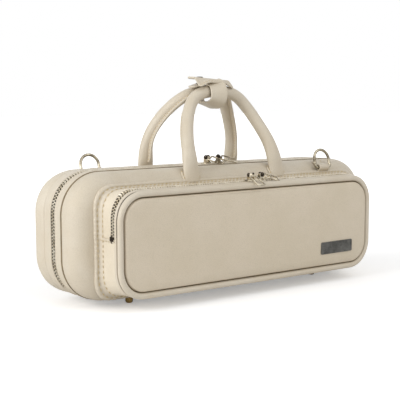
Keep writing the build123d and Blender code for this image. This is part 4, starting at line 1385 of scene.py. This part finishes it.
def flap(bm, low_x, high_x, low_y, high_y, z, thickness):
    """A flat rounded flap with softened edges, cut across both ways so that it can be bent."""
    corners = square(bm, (high_x - low_x) * MM, (high_y - low_y) * MM)
    middle = Vector(((low_x + high_x) / 2, (low_y + high_y) / 2, z - thickness / 2))
    bmesh.ops.translate(bm, vec=middle * MM, verts=corners)
    round_corners(bm, corners, 5 * MM, 6)
    pushed(bm, bm.faces[:], z=thickness)
    level = [e for e in bm.edges if abs(e.verts[0].co.z - e.verts[1].co.z) < MM / 100]
    every_edge_soft(bm, 0.7 * MM, 3, level)
    for axis, low, high in ((0, low_x, high_x), (1, low_y, high_y)):
        for at in range(int(low) + 2, int(high), 2):
            sliced(bm, axis, at * MM)


# %% Upper flap and front leaf
def upper_bend(place):
    """How far the upper flap stands above its flat place: up at the rear left, and down along the front."""
    across = place.x / MM - WRAP_X
    front = ease(-place.y, 5 * MM, 16 * MM)
    wing = ease(abs(across) / 25, 0.35, 1)
    rear = 1 - ease(-place.y, 0, 10 * MM)
    tilt = -0.075 * across * (1 - 0.5 * front)
    return MM * (tilt - front * (2.8 + 5.2 * wing) + 0.5 * rear)


bm = bmesh.new()
flap(bm, -30, 21, -17.5, 10, 244.2, 2.3)
for y in (-15.2, 7.6):
    line = [Vector((x, y, 245.4)) * MM for x in range(-27, 19, 2)]
    stitches(bm, frames_on(evenly(line, 3.9 * MM), facing(0, 0, 1)), 2.8, 0.8)
for vert in bm.verts:
    vert.co.z += upper_bend(vert.co)
leaf(bm, [(-0.2, 214.9), (-6, 214.6), (-12, 215.5), (-19.5, 220),
          (-21.5, 228), (-19.5, 236), (-14, 241), (-8, 241.6)])
wrap_top = piece(bm, "wrap_upper", None, WRAP_FINISHES, "leather", ["wrap_front_leaf", "wrap_upper_flap"])
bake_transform(wrap_top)

# %% Lower flap and rear leaf
bm = bmesh.new()
flap(bm, -29.5, 12, -6, 9.5, 241.0, 2.0)
for vert in bm.verts:
    droop = ease(-vert.co.x, 8 * MM, 30 * MM)
    vert.co.z -= MM * (5.0 * droop + 1.2 * ease(vert.co.x, 0, 12 * MM))
leaf(bm, [(0.2, 214.9), (6, 214.6), (12, 215.5), (19.5, 220),
          (21.5, 229), (19, 237), (13.5, 241.1), (7, 241.0), (3, 241.0)])
piece(bm, "wrap_lower", "rear_handle", WRAP_FINISHES, "leather", ["wrap_rear_leaf"])

# %% [markdown]
# ## Snap
# A pressed cap on the upper flap closes over a ring in the lower one. Both are turned shapes, spun from a
# profile.

# %% Snap
SNAP_X, SNAP_Y = -18, -0.5
CAP_PROFILE = [
    (0, 0.6), (1.7, 0.75), (2.1, 1.3), (2.8, 1.65), (3.5, 1.3), (3.8, 0.6), (3.5, 0.1),
    (2.1, 0.0), (2.1, -3.6), (2.5, -4.0), (2.4, -4.8), (0, -4.9),
]
SOCKET_PROFILE = [
    (2.3, 1.4), (2.8, 1.7), (3.4, 1.4), (3.8, 0.6), (3.7, -0.8), (3.3, -1.2), (2.3, -1.2), (2.3, 1.4),
]
turned("snap_dome", CAP_PROFILE, (SNAP_X, SNAP_Y, 246.1), "wrap_flap", snap_metal, "snap_metal", ["snap_cap"])
turned("snap_ring", SOCKET_PROFILE, (SNAP_X, SNAP_Y, 239.6), "rear_handle", stop_metal, "snap_metal",
       ["snap_socket"])

# %% [markdown]
# ## Strap rings
# A bent wire ring on each half takes the shoulder strap. Its line is a rectangle with its upper corners
# rounded until they meet, and it leans back. The tab that holds it is a strap folded round its straight
# side and sewn to the shoulder of the case.

# %% Rings and their tabs
RING_X, RING_WIDTH, RING_HEIGHT = 138, 24, 21.7
TAB_HOOK = [
    (63, 21.0), (54, 21.2), (44, 21.9), (38, 25.2), (33, 27.7),
    (27, 27.5), (22, 25.2), (21, 22.2), (25, 21.2),
]


def ring_line(lean):
    """The middle line of the ring's wire: its lower corners are tight and its upper ones meet."""
    bm = bmesh.new()
    corners = square(bm, RING_WIDTH * MM, RING_HEIGHT * MM)
    low = [v for v in corners if v.co.y < 0]
    high = [v for v in corners if v.co.y > 0]
    round_corners(bm, low, 3.0 * MM, 12)
    face = round_corners(bm, high, 11.9 * MM, 12)
    line = [lean @ v.co for v in face.verts]
    bm.free()
    return line


for half, side in SIDES.items():
    x = -side * RING_X
    lean = moved(x, side * 47.39, 137.85) @ Matrix.Rotation(math.radians(75), 4, "X")
    line = ring_line(lean @ moved(0, RING_HEIGHT / 2))
    bm = bmesh.new()
    wire = frames_on(line, facing(0, 1, 0), closed=True)
    sweep(bm, ring_section(bm, 1.75 * MM, 14), wire, closed=True)
    piece(bm, f"{half}_strap_ring", f"{half}_ring", [ring_metal], "ring_metal", [f"{half}_ring"], 60)

    bm = bmesh.new()
    run = smooth_run([on_shoulder(side, angle, radius, x) for angle, radius in TAB_HOOK], 3, 1.2)
    from_bar = away_from(Vector((x, side * 45, 136)) * MM)
    sweep(bm, strap_section(bm, 16 * MM, 1.7 * MM, 0.6 * MM, 1), frames_on(run, from_bar))
    rows = [[on_shoulder(side, a, 22.0, x + aside) for a in range(44, 62, 3)] for aside in (-5.6, 5.6)]
    rows.append([on_shoulder(side, 46, 22.2, x + aside) for aside in (-5, -2.5, 0, 2.5, 5)])
    for row, pitch in zip(rows, (3.2, 3.2, 3.3)):
        points = evenly([Vector(place) * MM for place in row], pitch * MM)
        stitches(bm, frames_on(points, from_bar), 2.4, 0.7)
    piece(bm, f"{half}_strap_tab", HALF_BODY[half], [smooth_leather, thread], "leather", [f"{half}_ring_tab"])

# %% [markdown]
# ## Zip sliders and pulls
# Each zip has two sliders that meet at the top. A slider is a pressed plate with curled sides and two domed
# ears, and a pin through the ears holds the pull. The pull is a flat frame with two windows, like a short
# ladder: a grid of squares with two of them taken out, given thickness, and its edges rounded.

# %% Sliders and pulls
SLIDERS = [
    ("zip", "left", -7, 0, 145.5, -62, 12, 4, 22),
    ("zip", "right", 10, 0, 145.5, -38, 12, 1, 22),
    ("pocket_zip", "left", 1.5, -70.5, 129.9, -93, 14, 14, 0),
    ("pocket_zip", "right", 17, -70.5, 129.9, -18, 14, 2, 24),
]
PIN_HEIGHT = {"zip": 8, "pocket_zip": 6.6}
PULL_COLUMNS = [3.4, 5.0, 12.0, 13.4, 21.2, 23.0]
PULL_ROWS = [-5.6, -4.1, 4.1, 5.6]
PULL_THICKNESS = 1.5


def pressed_block(bm, size, centre, bevel, segments=3, before=Matrix.Identity(4)):
    """A rounded block, for parts that are pressed or cast."""
    shape = before @ moved(*centre) @ Matrix.Diagonal((*(Vector(size) * MM), 1))
    verts = bmesh.ops.create_cube(bm, size=1, matrix=shape)["verts"]
    edges = list({e for v in verts for e in v.link_edges})
    every_edge_soft(bm, bevel * MM, segments, edges)


def rod(bm, radius, length, where):
    """A short round bar along Y."""
    lie = where @ Matrix.Rotation(math.radians(90), 4, "X")
    return bmesh.ops.create_cone(
        bm, cap_ends=True, segments=20, radius1=radius * MM, radius2=radius * MM,
        depth=length * MM, matrix=lie,
    )["verts"]


def creases(edges):
    """The edges where two faces meet at a clear angle."""
    return [e for e in edges if len(e.link_faces) == 2 and e.calc_face_angle() > 1]


def pull_frame(bm):
    """The pull's flat frame: a grid of squares with two of them taken out as windows."""
    grid = bmesh.ops.create_grid(bm, x_segments=5, y_segments=3, size=1)["verts"]
    for vert in grid:
        column, row = round((vert.co.x + 1) * 2.5), round((vert.co.y + 1) * 1.5)
        vert.co.x, vert.co.y = PULL_COLUMNS[column] * MM, PULL_ROWS[row] * MM
    windows = []
    for face in bm.faces:
        x, y, z = face.calc_center_median() / MM
        in_window = PULL_COLUMNS[1] < x < PULL_COLUMNS[2] or PULL_COLUMNS[3] < x < PULL_COLUMNS[4]
        if abs(y) < 1 and in_window:
            windows.append(face)
    bmesh.ops.delete(bm, geom=windows, context="FACES")
    tips = [v for v in bm.verts if abs(v.co.y) > 5.5 * MM and not 4 * MM < v.co.x < 22 * MM]
    round_corners(bm, tips, 1.1 * MM, 4)
    bmesh.ops.translate(bm, vec=(0, 0, -PULL_THICKNESS / 2 * MM), verts=bm.verts[:])
    pushed(bm, bm.faces[:], z=PULL_THICKNESS)
    bmesh.ops.recalc_face_normals(bm, faces=bm.faces[:])
    every_edge_soft(bm, 0.42 * MM, 3, creases(bm.edges))


for zip_name, hand, x, y, z, azimuth, droop, bend, roll in SLIDERS:
    seat = moved(x, y, z)
    pin = PIN_HEIGHT[zip_name]
    turn = seat @ Matrix.Rotation(math.radians(azimuth), 4, "Z")
    bm = bmesh.new()
    pressed_block(bm, (13, 8, 1.7), (0, 0, 0.55), 0.75, 3, seat)
    for verge in (-1, 1):
        pressed_block(bm, (9.5, 1.1, 2.6), (0, verge * 3.6, -0.7), 0.45, 2, seat)
    pressed_block(bm, (9, 5.4, 1.3), (0, 0, 1.7), 0.6, 3, seat)
    for verge in (-1, 1):
        pressed_block(bm, (6.2, 1.15, pin - 0.4), (0, verge * 2.85, pin / 2 + 1.2), 0.5, 3, turn)
        dome = turn @ moved(0, verge * 3.2, pin) @ Matrix.Diagonal((2.7 * MM, 1.2 * MM, 2.7 * MM, 1))
        made = bmesh.ops.create_uvsphere(bm, u_segments=20, v_segments=10, radius=1, matrix=dome)["verts"]
        for face in {f for v in made for f in v.link_faces}:
            face.material_index = 1
    rod(bm, 0.9, 6.2, turn @ moved(0, 0, pin))
    piece(bm, f"{zip_name}_slider_body_{hand}", f"{zip_name}_slider_{hand}", [slider_metal, dark_metal],
          "slider_metal", [f"{zip_name}_slider_{hand}"], 40)

    lean = turn @ moved(0, 0, pin) @ Matrix.Rotation(math.radians(droop), 4, "Y")
    tilt = Matrix.Rotation(math.radians(bend), 4, "Y") @ Matrix.Rotation(math.radians(roll), 4, "X")
    tilt = moved(3.2) @ tilt @ moved(-3.2)
    bm = bmesh.new()
    pull_frame(bm)
    bmesh.ops.transform(bm, matrix=tilt, verts=bm.verts[:])
    pressed_block(bm, (3.4, 3.8, 1.5), (2.9, 0, 0), 0.35, 2)
    knuckle = rod(bm, 1.95, 3.9, Matrix.Identity(4))
    every_edge_soft(bm, 0.35 * MM, 2, creases({e for v in knuckle for e in v.link_edges}))
    bmesh.ops.transform(bm, matrix=lean, verts=bm.verts[:])
    piece(bm, f"{zip_name}_pull_frame_{hand}", f"{zip_name}_pull_{hand}", [slider_metal], "slider_metal",
          [f"{zip_name}_pull_{hand}"], 40)

# %% [markdown]
# ## Linings
# Inside, each half is lined with plush on a thin board. It is made as the shell is, one wall further in,
# and its raw edge is hidden under a thin roll of the same plush that runs round the mouth.

# %% Both linings
INSIDE = (421.6 * MM, 128.6 * MM, 40.8 * MM)
mouth = frames_on(evenly(outline(*INSIDE, 0), 3 * MM, closed=True), closed=True)
for half, side in SIDES.items():
    bm = bmesh.new()
    pushed(bm, [standing_panel(bm, *INSIDE, side * 6.4 * MM)], y=side * 35.4)
    bmesh.ops.delete(bm, geom=within(bm.faces, lambda co: abs(co.y) < 7 * MM), context="FACES")
    every_edge_soft(bm, 16 * MM, 8, within(bm.edges, lambda co: abs(co.y) > 41 * MM))
    lining = piece(bm, f"{half}_plush_lining", HALF_BODY[half], [plush], "lining", [f"{half}_lining"])
    walled(lining, 1.4)
    bm = bmesh.new()
    sweep(bm, ring_section(bm, 1.25 * MM, 10), beside(mouth, -side * 5.9, -1.3), closed=True)
    piece(bm, f"{half}_lining_roll", HALF_BODY[half], [plush], "lining")

# %% [markdown]
# ## Tray
# The rear half holds a foam tray covered in plush, with a recess for each of the three joints of the flute.
# The recesses are cut out of the block with a boolean, and the block is then remeshed and smoothed, which
# rounds its edges as cloth pulled over foam does.

# %% Tray
def remade(name, source):
    """A plain copy of an object's mesh as its modifiers leave it. The object itself is removed."""
    as_shown = source.evaluated_get(bpy.context.evaluated_depsgraph_get())
    mesh = bpy.data.meshes.new_from_object(as_shown)
    mesh.name = name
    bpy.data.objects.remove(source)
    return mesh


def loose(bm, name):
    """A working object that is removed again later."""
    bmesh.ops.recalc_face_normals(bm, faces=bm.faces[:])
    mesh = bpy.data.meshes.new(name)
    bm.to_mesh(mesh)
    bm.free()
    made = bpy.data.objects.new(name, mesh)
    bpy.context.scene.collection.objects.link(made)
    return made


def finished(mesh, name, body, replaces):
    """A remeshed shape as a plush piece of the case, with smooth faces."""
    mesh.materials.clear()
    mesh.materials.append(plush)
    mesh.shade_smooth()
    made = bpy.data.objects.new(name, mesh)
    bpy.context.scene.collection.objects.link(made)
    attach(made, body)
    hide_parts(*replaces)
    print(f"{name}: {len(mesh.polygons)} faces")
    return made


RECESSES = [(0, 51.7, 300, 36), (-81, 105.7, 182, 28), (119, 105.7, 102, 36)]
TRAY_DEPTH = 36
bm = bmesh.new()
pushed(bm, [standing_panel(bm, 415.6 * MM, 119.6 * MM, 38 * MM, 3.2 * MM, 78.9 * MM)], y=TRAY_DEPTH)
every_edge_soft(bm, 14 * MM, 6, within(bm.edges, lambda co: co.y > 39 * MM))
block = loose(bm, "tray_block")
bm = bmesh.new()
for x, z, width, height in RECESSES:
    before = set(bm.verts)
    face = standing_panel(bm, width * MM, height * MM, (height / 2 - 0.5) * MM, -5 * MM, z * MM)
    pushed(bm, [face], y=TRAY_DEPTH)
    bmesh.ops.translate(bm, vec=(x * MM, 0, 0), verts=[v for v in bm.verts if v not in before])
cutter = loose(bm, "tray_cutter")
cut = block.modifiers.new("recesses", "BOOLEAN")
cut.operation = "DIFFERENCE"
cut.solver = "EXACT"
cut.object = cutter
cloth_skin = block.modifiers.new("cloth_skin", "REMESH")
cloth_skin.mode = "VOXEL"
cloth_skin.voxel_size = 2.6 * MM
drawn = block.modifiers.new("drawn", "SMOOTH")
drawn.factor = 0.5
drawn.iterations = 5
tray_mesh = remade("flute_tray_plush", block)
bpy.data.objects.remove(cutter)
tray = finished(tray_mesh, "flute_tray_plush", "case_rear", ["flute_tray"])

# %% [markdown]
# ## Lid pad
# The pad in the lid holds the flute down when the case is shut. It is swollen with a short cloth
# simulation: a slightly thin pad is blown up under a little pressure, and no point may move more than a few
# millimetres. Its glued side may not pass the lining. The sewn diamond channels are pressed in afterwards.

# %% Lid pad
PAD_OPEN, PAD_GLUED = -32.6, -39.3
MOST_SWELLING, CLOTH_STEPS = 2.8 * MM, 20
CHANNEL_PITCH, CHANNEL_WIDTH, CHANNEL_DEPTH = 52 * MM, 7 * MM, 1.7 * MM
bm = bmesh.new()
face = standing_panel(bm, 405 * MM, 110 * MM, 34 * MM, PAD_OPEN * MM, 78.4 * MM)
pushed(bm, [face], y=PAD_GLUED - PAD_OPEN)
every_edge_soft(bm, 5 * MM, 3, within(bm.edges, lambda co: co.y < (PAD_GLUED + 0.5) * MM))
every_edge_soft(bm, 1.5 * MM, 2, within(bm.edges, lambda co: co.y > (PAD_OPEN - 0.5) * MM))
blank = loose(bm, "pad_blank")
skin = blank.modifiers.new("skin", "REMESH")
skin.mode = "VOXEL"
skin.voxel_size = 4.5 * MM
pad_mesh = remade("lid_pad_plush", blank)
still = [v.co.copy() for v in pad_mesh.vertices]
swelling = bpy.data.objects.new("pad_swelling", pad_mesh)
bpy.context.scene.collection.objects.link(swelling)
cloth = swelling.modifiers.new("cloth", "CLOTH")
cloth.settings.quality = 5
cloth.settings.mass = 0.3
cloth.settings.use_pressure = True
cloth.settings.uniform_pressure_force = 4
cloth.settings.effector_weights.gravity = 0
cloth.point_cache.frame_start, cloth.point_cache.frame_end = 1, CLOTH_STEPS
for step in range(1, CLOTH_STEPS + 1):
    bpy.context.scene.frame_set(step)
pad_mesh = remade("lid_pad_plush", swelling)
bpy.context.scene.frame_set(1)
most = 0.0
for vert, start in zip(pad_mesh.vertices, still):
    move = vert.co - start
    if move.length > MOST_SWELLING:
        move *= MOST_SWELLING / move.length
    most = max(most, move.length)
    spot = start + move
    slants = [(spot.x + slant * spot.z) % CHANNEL_PITCH for slant in (1, -1)]
    channel = min(abs(slant - CHANNEL_PITCH / 2) for slant in slants)
    if spot.y > -36 * MM:
        spot.y -= CHANNEL_DEPTH * (1 - ease(channel, 0, CHANNEL_WIDTH))
    spot.y = max(spot.y, -39.7 * MM)
    vert.co = spot
print("pad swelled by at most", round(most * 1000, 2), "mm")
pad = finished(pad_mesh, "lid_pad_plush", "lid", ["lid_pad"])
rounder = pad.modifiers.new("rounder", "SUBSURF")
rounder.levels = rounder.render_levels = 1


# %% [markdown]
# ## Closing
# The size of the dressed case is written next to the size of its solids, so that the two can be compared.

# %% Sizes
low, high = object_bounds()
for name, box in (("solids", cad_high - cad_low), ("dressed", high - low)):
    print(name, [round(v * 1000, 1) for v in box], "mm")
